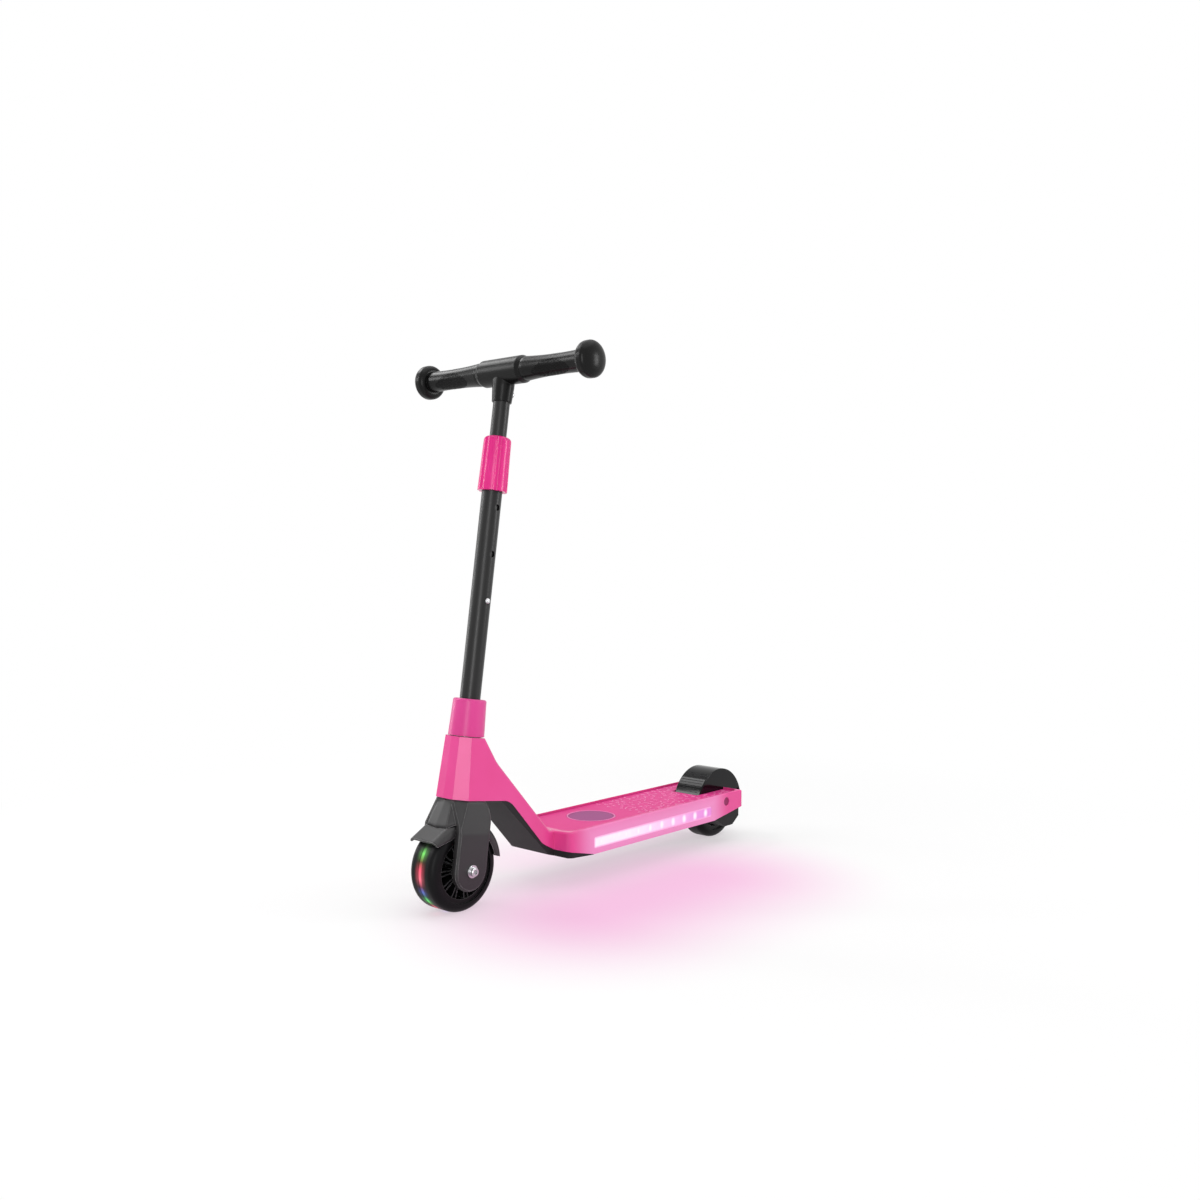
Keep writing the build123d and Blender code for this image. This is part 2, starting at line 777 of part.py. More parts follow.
with BuildPart() as stem_bush:
    with BuildSketch(steer_side):
        with Locations(((upper_radius + fit + lower_radius) / 2, lower_top_v + bush_flange / 2)):
            Rectangle(lower_radius - upper_radius - fit, bush_flange)
        with Locations(((upper_radius + lower_bore) / 2, lower_top_v - bush_spigot / 2)):
            Rectangle(lower_bore - upper_radius - 2 * fit, bush_spigot)
    revolve(axis=steer_axis)
    with BuildSketch(steer.offset(lower_top_v - bush_spigot)):
        with Locations((-lower_radius, 0)):
            Rectangle(lower_diameter, bush_slot)
    extrude(amount=bush_spigot + bush_flange, mode=Mode.SUBTRACT)
save(stem_bush.part, "stem_bush")

with BuildPart() as twist_collar:
    with BuildSketch(steer_side):
        with BuildLine():
            Polyline((lower_radius + slip, twist_v), (twist_bottom_radius, twist_v),
                     (twist_top_radius, twist_top_v), (upper_radius + slip, twist_top_v),
                     (upper_radius + slip, twist_top_v - twist_cap),
                     (lower_radius + slip, twist_top_v - twist_cap), close=True)
        make_face()
    revolve(axis=steer_axis)
    top_edges = twist_collar.edges().filter_by(GeomType.CIRCLE).group_by(steer_axis)[-1]
    fillet(top_edges.sort_by(SortBy.RADIUS)[-1], twist_round)
    for count in range(flute_count):
        turn = 2 * pi * count / flute_count
        outward = forward * cos(turn) + Vector(0, 1, 0) * sin(turn)
        foot = steer_origin + upward * twist_v + outward * (twist_bottom_radius + flute_radius - flute_depth)
        rise = upward * twist_height + outward * (twist_top_radius - twist_bottom_radius)
        with BuildSketch(Plane(origin=foot, z_dir=rise)):
            Circle(flute_radius)
        extrude(amount=twist_height + twist_round, both=True, mode=Mode.SUBTRACT)
save(twist_collar.part, "twist_collar")

with BuildPart() as upper_stem:
    with BuildSketch(steer_side):
        with Locations((upper_radius - tube_wall / 2, (upper_foot_v + upper_top_v) / 2)):
            Rectangle(tube_wall, upper_top_v - upper_foot_v)
    revolve(axis=steer_axis)
    with BuildSketch(steer_side):
        with Locations((0, button_v)):
            Circle((button_diameter + button_play) / 2)
    extrude(amount=-lower_diameter, mode=Mode.SUBTRACT)
save(upper_stem.part, "upper_stem")

with BuildPart() as end_bush:
    with BuildSketch(steer_side):
        with BuildLine():
            Polyline((upper_bore, upper_foot_v - end_bush_lip),
                     (lower_bore - fit * 2, upper_foot_v - end_bush_lip),
                     (lower_bore - fit * 2, upper_foot_v + end_bush_length),
                     (upper_radius + fit, upper_foot_v + end_bush_length),
                     (upper_radius + fit, upper_foot_v), (upper_bore, upper_foot_v), close=True)
        make_face()
    revolve(axis=steer_axis)
save(end_bush.part, "stem_end_bush")

button_seat = sqrt(upper_bore ** 2 - button_flange_radius ** 2) - slip
button_tip = lower_radius + button_proud

with BuildPart() as snap_button:
    with BuildSketch(steer_side.offset(-button_seat)):
        with Locations((0, button_v)):
            Circle(button_flange_radius)
    extrude(amount=button_flange)
    with BuildSketch(steer_side.offset(-button_seat)):
        with Locations((0, button_v)):
            Circle(button_diameter / 2)
    extrude(amount=button_seat - button_tip)
    fillet(snap_button.faces().sort_by(Axis.Y)[-1].edges(), button_proud)
save(snap_button.part, "snap_button")

spring_face = button_seat - button_flange
spring_back = sqrt(upper_bore ** 2 - (snap_strip_width / 2) ** 2) - slip
with BuildPart() as snap_spring:
    spring_plane = Plane(origin=steer_origin, x_dir=(0, 1, 0), z_dir=forward)
    with BuildSketch(spring_plane):
        with BuildLine() as strip:
            low_v = button_v - snap_leg / 2
            FilletPolyline((spring_face - snap_strip, button_v + button_diameter / 2),
                           (spring_face - snap_strip, low_v), (snap_strip - spring_back, low_v),
                           (snap_strip - spring_back, button_v + snap_leg), radius=snap_bend)
            offset(amount=snap_strip, side=Side.LEFT)
        make_face()
    extrude(amount=snap_strip_width / 2, both=True)
save(snap_spring.part, "snap_spring")


# Handlebar

with BuildPart() as tee:
    with BuildSketch(steer_side):
        with BuildLine():
            Polyline((0, tee_v), (tee_bottom_radius, tee_v),
                     (tee_sleeve_radius, (tee_v + bar_v) / 2), (tee_sleeve_radius, bar_v), (0, bar_v),
                     close=True)
        make_face()
    revolve(axis=steer_axis)
    with BuildSketch(bar_plane):
        with BuildLine():
            Polyline((-tee_half_length, 0), (-tee_half_length, tee_bar_radius - tee_bevel_step),
                     (tee_bevel - tee_half_length, tee_bar_radius),
                     (tee_half_length - tee_bevel, tee_bar_radius),
                     (tee_half_length, tee_bar_radius - tee_bevel_step), (tee_half_length, 0), close=True)
        make_face()
    revolve(axis=bar_axis)
    with BuildSketch(bar_plane):
        with Locations((0, bar_diameter / 4 + fit / 2)):
            Rectangle(2 * tee_half_length + bar_diameter, bar_diameter / 2 + fit)
    revolve(axis=bar_axis, mode=Mode.SUBTRACT)
    with BuildSketch(steer.offset(tee_v)):
        Circle(upper_radius + fit)
    extrude(amount=upper_top_v - tee_v, mode=Mode.SUBTRACT)
    screw_v = tee_v + tee_drop / 3
    with BuildSketch(Plane(origin=steer_origin + upward * screw_v, x_dir=(0, 1, 0), z_dir=-forward)):
        Circle(tee_screw_radius + fit)
    extrude(amount=tee_sleeve_radius + fit, mode=Mode.SUBTRACT)
save(tee.part, "tee")

with BuildPart() as cross_bar:
    with BuildSketch(bar_plane):
        with Locations((0, bar_diameter / 2 - bar_wall / 2)):
            Rectangle(2 * bar_half_length, bar_wall)
    revolve(axis=bar_axis)
save(cross_bar.part, "cross_bar")

with BuildPart() as tee_screw:
    with BuildSketch(Plane(origin=steer_origin + upward * screw_v, x_dir=(0, 1, 0), z_dir=-forward)):
        Circle(tee_screw_radius)
    extrude(amount=tee_sleeve_radius + slip)
    with BuildSketch(Plane(origin=steer_origin + upward * screw_v - forward * (upper_radius + fit * 2),
                           x_dir=(0, 1, 0), z_dir=forward)):
        Circle(2 * tee_screw_radius)
    extrude(amount=upper_diameter, mode=Mode.SUBTRACT)
    with BuildSketch(Plane(origin=steer_origin + upward * screw_v - forward * (tee_sleeve_radius + 2 * fit),
                           x_dir=(0, 1, 0), z_dir=-forward)):
        Circle(tee_screw_head)
    extrude(amount=tee_screw_height)
    fillet(tee_screw.faces().sort_by(Axis.X)[0].edges(), tee_screw_height / 3)
save(tee_screw.part, "tee_screw")


grip_start = tee_half_length + grip_gap
knob_start = bar_half_length + slip

with BuildPart() as left_grip:
    with BuildSketch(bar_plane):
        with BuildLine():
            Polyline((grip_start, 0), (grip_start, grip_flange_radius),
                     (grip_start + grip_flange, grip_flange_radius))
            Spline((grip_start + grip_flange, grip_flange_radius),
                   ((grip_start + knob_start) / 2, grip_waist_radius), (knob_start, grip_outer_radius))
            Polyline((knob_start, grip_outer_radius), (knob_start, 0), (grip_start, 0))
        make_face()
    revolve(axis=bar_axis)
    with BuildSketch(bar_plane) as ball:
        with Locations((knob_start + knob_width / 2, 0)):
            Rectangle(knob_width, 2 * knob_radius)
        fillet(ball.vertices().sort_by(Axis.X)[:2], knob_inner_round)
        with Locations((knob_start + knob_width, 0)):
            Ellipse(knob_dome, knob_radius)
        with Locations((knob_start, -knob_radius)):
            Rectangle(4 * knob_radius, 2 * knob_radius, mode=Mode.SUBTRACT)
    revolve(axis=bar_axis)
    with BuildSketch(bar_plane):
        with Locations(((grip_start + knob_start) / 2, bar_diameter / 4 + fit / 2)):
            Rectangle(knob_start - grip_start, bar_diameter / 2 + fit)
    revolve(axis=bar_axis, mode=Mode.SUBTRACT)
save(left_grip.part, "left_grip")

with BuildPart() as right_grip:
    mirror(left_grip.part, about=Plane.XZ)
save(right_grip.part, "right_grip")


# Body shell: head, neck and deck tray

neck_head = steer_point(-neck_start, head_top)
neck_bend = (neck_head[0] - neck_kink, neck_head[1] - neck_kink_drop)
neck_foot = (deck_front + neck_land, rim_height)
neck_end = (deck_front - rim_front, rim_height)
under_end = steer_point(-neck_under, head_bottom)
shoulder = (deck_front + hull_shoulder, deck_bottom + hull_shoulder_rise)
corner = (deck_front, deck_bottom + hull_corner_rise)
neck_half = neck_side(steer_height(corner))
nose = (deck_front + hull_nose, deck_bottom + hull_nose_rise)
run_end = (deck_front - hull_run, deck_bottom)
sweep_start = (deck_rear + rear_sweep, deck_bottom)
sweep_end = (deck_rear - 1, deck_bottom + rear_sweep_rise)
ring_outer = disc_radius + slip + ring_width
screw_centre = deck_front - screw_start - screw_pitch * (screw_rows - 1) / 2


def deck_outline(half, front, rear, corner_radius):
    """Plan of the deck with raked, rounded front corners."""
    rake = deck_rake * half / deck_half
    with BuildLine() as edge:
        Polyline((front, -neck_half), (front - rake, -half), (rear, -half), (rear, half),
                 (front - rake, half), (front, neck_half), close=True)
    plan = make_face(edge.edges())
    corners = plan.vertices().group_by(Axis.Y)
    fillet([corners[0].sort_by(Axis.X)[-1], corners[-1].sort_by(Axis.X)[-1]], corner_radius)


def tray_outline(margin):
    """Plan of the tray, a margin inside its walls."""
    length = neck_end[0] - deck_rear - rim_width
    with Locations(((neck_end[0] + deck_rear + rim_width) / 2, 0)):
        RectangleRounded(length - 2 * margin, deck_width - 2 * rim_width - 2 * margin, tray_corner - margin)


def neck_profile():
    """Side view of the neck; gives back the middles of its upper edges."""
    with BuildLine() as edge:
        top = FilletPolyline(neck_head, neck_bend, neck_foot, neck_end,
                             radius=[neck_top_round, neck_foot_round])
        Polyline(neck_end, (neck_end[0], corner[1]), corner)
        FilletPolyline(corner, shoulder, under_end, steer_point(0, head_bottom),
                       radius=[hull_shoulder_round, neck_under_round])
        Polyline(steer_point(0, head_bottom), steer_point(0, head_top), neck_head)
    make_face(edge.edges())
    return [part_edge.center() for part_edge in top.edges()]


with BuildPart() as body_shell:
    with BuildSketch(Plane.XZ):
        upper_middles = neck_profile()
    extrude(amount=deck_half, both=True)
    for way in (-1, 1):
        with BuildSketch(steer_across):
            beside_neck(way)
        extrude(amount=wheelbase, both=True, mode=Mode.SUBTRACT)
    upper_edges = []
    for middle in upper_middles[:3]:
        side = neck_side(steer_height((middle.X, middle.Y)))
        for way in (-1, 1):
            spot = Vector(middle.X, way * side, middle.Y)
            upper_edges.append(body_shell.edges().sort_by_distance(spot)[0])
    fillet(upper_edges, neck_edge)
    with BuildSketch(Plane.XY.offset(deck_bottom)):
        deck_outline(deck_half, deck_front, deck_rear, deck_corner)
    deck_block = extrude(amount=rim_height - deck_bottom, mode=Mode.PRIVATE)
    add(deck_block.fillet(rim_edge, deck_block.faces().sort_by(Axis.Z)[-1].edges()))
    with BuildSketch(steer.offset(head_bottom)):
        head_outline(head_front_bottom, head_width_bottom / 2, head_chamfer_bottom, head_back)
    with BuildSketch(steer.offset(head_top)):
        head_outline(head_front_top, head_width_top / 2, head_chamfer_top, head_back)
    loft(ruled=True)
    # Tray, and the slot that the rear wheel and its fender run in
    with BuildSketch(Plane.XY.offset(rim_height)):
        tray_outline(0)
    extrude(amount=shell_floor - rim_height, mode=Mode.SUBTRACT)
    with BuildSketch(Plane.XY):
        with Locations(((slot_front + deck_rear - wall) / 2, 0)):
            Rectangle(slot_front - deck_rear + wall, 2 * slot_half_width)
    extrude(amount=rim_height + 1, mode=Mode.SUBTRACT)
    # Lower edge: raised at the front corners and behind the lens strips
    with BuildSketch(Plane.XZ):
        with BuildLine():
            Polyline((corner[0] + deck_rake, deck_bottom - 1), (corner[0] + deck_rake, corner[1]), corner,
                     run_end, (run_end[0], deck_bottom - 1), close=True)
        make_face()
        with BuildLine():
            Polyline(sweep_start, sweep_end, (sweep_end[0], deck_bottom - 1),
                     (sweep_start[0], deck_bottom - 1), close=True)
        make_face()
    extrude(amount=deck_half + 1, both=True, mode=Mode.SUBTRACT)
    # Hollow deck and neck, open downwards
    with BuildSketch(Plane.XY):
        deck_outline(deck_half - wall, deck_front - wall, slot_front + wall, deck_corner - wall)
        for way in (-1, 1):
            hollow_low = slot_half_width - wall
            hollow_high = deck_half - wall
            with Locations(((slot_front + deck_rear + 3 * wall) / 2, way * (hollow_low + hollow_high) / 2)):
                Rectangle(slot_front - deck_rear + wall, hollow_high - hollow_low)
    extrude(amount=cavity_top, mode=Mode.SUBTRACT)
    with BuildSketch(Plane.XZ):
        with BuildLine():
            Polyline(steer_point(-neck_under + wall * 4, head_bottom + wall),
                     (neck_foot[0] + wall, cavity_top), (neck_foot[0] - wall, cavity_top),
                     (neck_foot[0] - wall, deck_bottom), (nose[0], deck_bottom),
                     steer_point(-neck_under + wall * 4, 0), close=True)
        make_face()
    extrude(amount=neck_side(head_bottom) - wall, both=True, mode=Mode.SUBTRACT)
    with BuildSketch(steer.offset(head_bottom - 1)):
        Circle(head_tube_radius + fit)
    extrude(amount=head_height + 2, mode=Mode.SUBTRACT)
    # Openings for the lens strips, the foot switch and the pivot screws
    with BuildSketch(Plane.XZ):
        with Locations((deck_front - lens_front - lens_length / 2, lens_bottom + lens_height / 2)):
            RectangleRounded(lens_length, lens_height, lens_round)
    extrude(amount=deck_half + 1, both=True, mode=Mode.SUBTRACT)
    with BuildSketch(Plane.XY.offset(cavity_top - 1)):
        with Locations((deck_front - disc_back, 0)):
            Circle(ring_outer + slip)
    extrude(amount=tray_floor - cavity_top, mode=Mode.SUBTRACT)
    with BuildSketch(Plane.XZ):
        with Locations((pivot_x, pivot_z)):
            Circle(plug_radius)
    extrude(amount=deck_half + 1, both=True, mode=Mode.SUBTRACT)
    # Screw bosses under the tray
    with BuildSketch(Plane.XY.offset(plate_top)):
        with Locations((screw_centre, 0)):
            with GridLocations(screw_pitch, screw_track, screw_rows, 2):
                Circle(boss_radius)
    extrude(amount=cavity_top - plate_top + wall / 2)
    with BuildSketch(Plane.XY.offset(plate_top)):
        with Locations((screw_centre, 0)):
            with GridLocations(screw_pitch, screw_track, screw_rows, 2):
                Circle(screw_diameter / 2 + fit)
    extrude(amount=screw_length, mode=Mode.SUBTRACT)
save(body_shell.part, "body_shell")


# Chassis: lower hull of the neck, deck plate and the arms that hold the rear axle

inside_half = deck_half - wall - slip
arm_rear = deck_rear + arm_reveal
arm_low = chassis_bottom - arm_drop
arm_top = cavity_top - slip
arm_end = rear_radius - nut_width / 2 - 2 * seam
keel = (deck_front - hull_keel, deck_bottom + hull_keel_rise)
keel_end = (run_end[0], chassis_bottom)
hull_front = steer_point(-hull_top, head_bottom)
plate_rear = slot_front + wall + slip
link_rear = rear_x + arm_run - wall
link_front = plate_rear + 2 * wall
buffer_x = rear_x - spacer_radius - buffer_back - buffer_length / 2


def fender_edge(x):
    """Height of the fender's lower side edge at x."""
    share = (rear_x + fender_inner - x) / (2 * fender_inner)
    return pivot_z + fender_front_low + share * (fender_rear_low - fender_front_low)


buffer_top = fender_edge(buffer_x + buffer_length / 2) - buffer_squash
buffer_bottom = buffer_top - buffer_height

with BuildPart() as hull:
    with BuildSketch(Plane.XZ) as hull_side:
        with BuildLine():
            Polyline(hull_front, nose, keel, (keel[0], corner[1]), under_end, close=True)
        make_face()
        fillet(hull_side.vertices().sort_by_distance(Vector(nose[0], nose[1], 0))[0], hull_nose_round)
    extrude(amount=deck_half, both=True)
    for way in (-1, 1):
        with BuildSketch(steer_across):
            beside_neck(way)
        extrude(amount=wheelbase, both=True, mode=Mode.SUBTRACT)

with BuildPart() as chassis:
    # Front pan, flush with the deck's sides, under the rising edge of the body shell
    with BuildSketch(Plane.XY.offset(chassis_bottom)):
        deck_outline(deck_half, deck_front, run_end[0], deck_corner)
    extrude(amount=hull_corner_rise + plate_drop)
    with BuildSketch(Plane.XY.offset(chassis_bottom)):
        deck_outline(deck_half - wall, deck_front - wall, run_end[0] - wall, deck_corner - wall)
    extrude(amount=rim_height, mode=Mode.SUBTRACT)
    add(hull.part)
    # Parting line to the body shell, and the keel underneath
    with BuildSketch(Plane.XZ):
        neck_profile()
        offset(amount=seam)
    extrude(amount=neck_half + seam, both=True, mode=Mode.SUBTRACT)
    with BuildSketch(Plane.XZ):
        with BuildLine():
            Polyline((corner[0], corner[1] - seam), (run_end[0], run_end[1] - seam),
                     (run_end[0], rim_height), (corner[0], rim_height), close=True)
        make_face()
        with BuildLine():
            Polyline((nose[0], 0), nose, keel, keel_end, (keel_end[0], 0), close=True)
        make_face()
        with BuildLine():
            Polyline(steer_point(0, head_bottom - seam), steer_point(-2 * neck_under, head_bottom - seam),
                     steer_point(-2 * neck_under, head_top), steer_point(0, head_top), close=True)
        make_face()
    extrude(amount=deck_width, both=True, mode=Mode.SUBTRACT)
    # Floor inside the body shell's walls
    with BuildSketch(Plane.XZ):
        with BuildLine():
            Polyline(keel_end, keel, (keel[0], keel[1] + plate_thickness), (keel_end[0], plate_top),
                     (plate_rear, plate_top), (plate_rear, chassis_bottom), close=True)
        make_face()
    extrude(amount=inside_half, both=True)
    # Arms beside the rear wheel, each with a pocket for the axle's end
    for way in (-1, 1):
        inner = way * slot_half_width
        depth = inside_half - slot_half_width
        with BuildSketch(Plane.XY.offset(chassis_bottom)):
            with Locations(((link_rear + link_front) / 2, inner + way * depth / 2)):
                Rectangle(link_front - link_rear, depth)
        extrude(amount=plate_thickness)
        with BuildSketch(Plane.XZ.offset(-inner)) as arm:
            with BuildLine():
                Polyline((rear_x + arm_run, chassis_bottom), (rear_x + arm_toe, arm_low),
                         (rear_x + arm_round, arm_low), (arm_rear, arm_end - arm_floor), (arm_rear, arm_top),
                         (rear_x + arm_run, arm_top), close=True)
            make_face()
        extrude(amount=-way * depth)
        with BuildSketch(Plane.XZ.offset(-inner - way * arm_inner_wall)):
            with BuildLine():
                Polyline((rear_x + arm_run - arm_floor, plate_top + arm_floor),
                         (rear_x + arm_toe, arm_low + arm_floor), (rear_x + arm_round, arm_low + arm_floor),
                         (arm_rear - wall, arm_end), (arm_rear - wall, rim_height),
                         (rear_x + arm_run - arm_floor, rim_height), close=True)
            make_face()
        extrude(amount=-way * (depth - arm_inner_wall - arm_outer_wall), mode=Mode.SUBTRACT)
        with BuildSketch(Plane.XZ.offset(-inner)):
            with Locations((buffer_x, buffer_bottom - ledge_height / 2)):
                Rectangle(buffer_length, ledge_height)
        extrude(amount=way * (slot_half_width - fender_half_width + fender_side))
    with BuildSketch(Plane.XZ):
        with Locations((rear_x, rear_radius)):
            Circle(axle_radius + fit)
        with Locations((pivot_x, pivot_z)):
            Circle(pivot_diameter / 2 + fit)
    extrude(amount=arm_seat + 1, both=True, mode=Mode.SUBTRACT)
    for way in (-1, 1):
        with BuildSketch(Plane.XZ.offset(-way * (arm_seat + 1))):
            with Locations((pivot_x, pivot_z)):
                Circle(plug_radius)
        extrude(amount=-way * deck_width, mode=Mode.SUBTRACT)
    # Battery opening, screw holes and standoffs
    with BuildSketch(Plane.XY):
        with Locations((battery_x, 0)):
            RectangleRounded(door_length - 2 * door_lap, door_width - 2 * door_lap, door_round)
        with Locations((screw_centre, 0)):
            with GridLocations(screw_pitch, screw_track, screw_rows, 2):
                Circle(screw_diameter / 2 + fit)
    extrude(amount=plate_top, mode=Mode.SUBTRACT)
    with BuildSketch(Plane.XY.offset(chassis_bottom)):
        with Locations((battery_x, 0)):
            RectangleRounded(door_length + 2 * slip, door_width + 2 * slip, door_round)
        with Locations((screw_centre, 0)):
            with GridLocations(screw_pitch, screw_track, screw_rows, 2):
                Circle(screw_head_radius + slip)
    extrude(amount=screw_head_height, mode=Mode.SUBTRACT)
    with BuildSketch(Plane.XY.offset(plate_top)):
        with Locations((controller_x, 0)):
            with GridLocations(controller_length - 3 * standoff_radius,
                               controller_width - 3 * standoff_radius, 2, 2):
                Circle(standoff_radius)
    extrude(amount=standoff_height)
save(chassis.part, "chassis")

# Foot switch in the tray, with its mat, bezel, cup, dome and contact

cup_flange = ring_outer + ring_width
cup_base = cavity_top - cup_depth
cup_floor = cup_base + cup_wall
disc_top = tray_floor + disc_proud
disc_under = disc_top - disc_thickness
contact_top = cup_floor + contact_height
switch_axis = Axis((disc_x, 0, 0), (0, 0, 1))
switch_side = Plane(origin=(disc_x, 0, 0), x_dir=(1, 0, 0), z_dir=(0, -1, 0))

with BuildPart() as deck_mat:
    with BuildSketch(Plane.XY.offset(shell_floor)):
        tray_outline(slip)
        with Locations(((slot_front + deck_rear) / 2, 0)):
            Rectangle(slot_front - deck_rear + 2 * slip, 2 * (slot_half_width + slip), mode=Mode.SUBTRACT)
        with Locations((disc_x, 0)):
            Circle(ring_outer + slip, mode=Mode.SUBTRACT)
    extrude(amount=mat_thickness)
save(deck_mat.part, "deck_mat")

with BuildPart() as switch_ring:
    with BuildSketch(switch_side) as bezel:
        with Locations((ring_outer - ring_width / 2, (cavity_top + tray_floor + ring_proud) / 2)):
            Rectangle(ring_width, tray_floor + ring_proud - cavity_top)
        fillet(bezel.vertices().group_by(Axis.Y)[-1], ring_proud)
    revolve(axis=switch_axis)
save(switch_ring.part, "switch_ring")

with BuildPart() as foot_switch:
    with BuildSketch(switch_side) as disc:
        with Locations((disc_radius / 2, disc_top - disc_thickness / 2)):
            Rectangle(disc_radius, disc_thickness)
        fillet(disc.vertices().sort_by(Axis.X)[-2:].sort_by(Axis.Y)[-1], disc_edge)
        post_low = contact_top + disc_travel + slip
        with Locations((disc_post / 2, (disc_under + post_low) / 2)):
            Rectangle(disc_post, disc_under - post_low)
    revolve(axis=switch_axis)
save(foot_switch.part, "foot_switch")

with BuildPart() as switch_cup:
    with BuildSketch(switch_side):
        with BuildLine():
            Polyline((0, cup_base), (cup_outer, cup_base), (cup_outer, cavity_top - cup_wall),
                     (cup_flange, cavity_top - cup_wall), (cup_flange, cavity_top), (cup_bore, cavity_top),
                     (cup_bore, cup_floor), (0, cup_floor), close=True)
        make_face()
    revolve(axis=switch_axis)
save(switch_cup.part, "switch_cup")

with BuildPart() as switch_dome:
    with BuildSketch(switch_side):
        with BuildLine():
            Polyline((dome_radius, cup_floor), (dome_radius + dome_wall, cup_floor),
                     (dome_top + dome_wall, disc_under), (dome_top, disc_under), close=True)
        make_face()
    revolve(axis=switch_axis)
save(switch_dome.part, "switch_dome")

with BuildPart() as contact_switch:
    with BuildSketch(Plane.XY.offset(cup_floor)):
        with Locations((disc_x, 0)):
            Rectangle(contact_size, contact_size)
    extrude(amount=contact_height - contact_plunger)
    with BuildSketch(Plane.XY.offset(contact_top)):
        with Locations((disc_x, 0)):
            Circle(contact_size / 4)
    extrude(amount=-contact_plunger)
save(contact_switch.part, "contact_switch")


# Side lights

lens_x = deck_front - lens_front - lens_length / 2
lens_z = lens_bottom + lens_height / 2
flange_low = lens_z - lens_height / 2 - lens_flange
flange_high = min(lens_z + lens_height / 2 + lens_flange, cavity_top - slip)
board_height = lens_height - 2 * lens_skin
led_pitch = (lens_length - 2 * lens_skin) / led_count


def make_lens(way):
    """Clear strip that fills the side opening, with a flange behind it and a pocket for the lights."""
    with BuildPart() as lens:
        with BuildSketch(Plane.XZ.offset(-way * (deck_half - lens_sink))):
            with Locations((lens_x, lens_z)):
                RectangleRounded(lens_length - 2 * slip, lens_height - 2 * slip, lens_round - slip)
        extrude(amount=way * (deck_half - lens_sink - flange_outer))
        with BuildSketch(Plane.XZ.offset(-way * flange_outer)):
            with Locations((lens_x, (flange_low + flange_high) / 2)):
                RectangleRounded(lens_length + 2 * lens_flange, flange_high - flange_low, lens_round)
        extrude(amount=way * lens_flange)
        with BuildSketch(Plane.XZ.offset(-way * flange_inner)):
            with Locations((lens_x, lens_z)):
                Rectangle(lens_length - 2 * lens_skin, board_height)
        extrude(amount=-way * (deck_half - lens_sink - lens_skin - flange_inner), mode=Mode.SUBTRACT)
    return lens.part


def make_led_board(way):
    """Strip of lights on a board that closes the back of the lens."""
    with BuildPart() as board:
        with BuildSketch(Plane.XZ.offset(-way * flange_inner)):
            with Locations((lens_x, lens_z)):
                Rectangle(lens_length, board_height + lens_skin)
        extrude(amount=way * board_thickness)
        with BuildSketch(Plane.XZ.offset(-way * flange_inner)):
            with Locations((lens_x, lens_z)):
                with GridLocations(led_pitch, led_size, led_count, 1):
                    Rectangle(led_size, led_size)
        extrude(amount=-way * led_height)
    return board.part


save(make_lens(1), "left_lens")
save(make_lens(-1), "right_lens")
save(make_led_board(1), "left_led_board")
save(make_led_board(-1), "right_led_board")


# Battery, controller, door and screws

door_top = chassis_bottom + screw_head_height
board_z = plate_top + standoff_height
board_top = board_z + board_thickness
plug_z = board_top + connector_height / 2
plug_y = controller_width / 2 - connector_size / 2

with BuildPart() as battery_door:
    with BuildSketch(Plane.XY.offset(chassis_bottom)):
        with Locations((battery_x, 0)):
            RectangleRounded(door_length, door_width, door_round)
    extrude(amount=screw_head_height)
    with BuildSketch(Plane.XY.offset(door_top)):
        with Locations((battery_x, 0)):
            RectangleRounded(door_length - 2 * (door_lap + slip), door_width - 2 * (door_lap + slip),
                             door_round)
    extrude(amount=plate_top - door_top)
save(battery_door.part, "battery_door")

with BuildPart() as battery_pack:
    with BuildSketch(Plane.XY.offset(plate_top)):
        with Locations((battery_x, 0)):
            Rectangle(battery_length, battery_width)
    extrude(amount=battery_height)
    fillet(battery_pack.edges().filter_by(Axis.X), battery_round)
save(battery_pack.part, "battery_pack")

with BuildPart() as control_board:
    with BuildSketch(Plane.XY.offset(board_z)):
        with Locations((controller_x, 0)):
            Rectangle(controller_length, controller_width)
    extrude(amount=board_thickness)
    with BuildSketch(Plane.XY.offset(board_top)):
        with Locations((controller_x, 0)):
            Rectangle(chip_size, chip_size)
    extrude(amount=chip_height)
    with BuildSketch(Plane.XY.offset(board_top)):
        with Locations((socket_x, 0)):
            Rectangle(connector_size, controller_width / 2)
        with Locations((socket_x, plug_y), (socket_x, -plug_y)):
            Rectangle(connector_size, connector_size)
    extrude(amount=connector_height)
save(control_board.part, "control_board")

with BuildPart() as chassis_screws:
    for radius, height in ((screw_head_radius, screw_head_height), (screw_diameter / 2, screw_length)):
        with BuildSketch(Plane.XY.offset(chassis_bottom)):
            with Locations((screw_centre, 0)):
                with GridLocations(screw_pitch, screw_track, screw_rows, 2):
                    Circle(radius)
        extrude(amount=height)
save(chassis_screws.part, "chassis_screws")

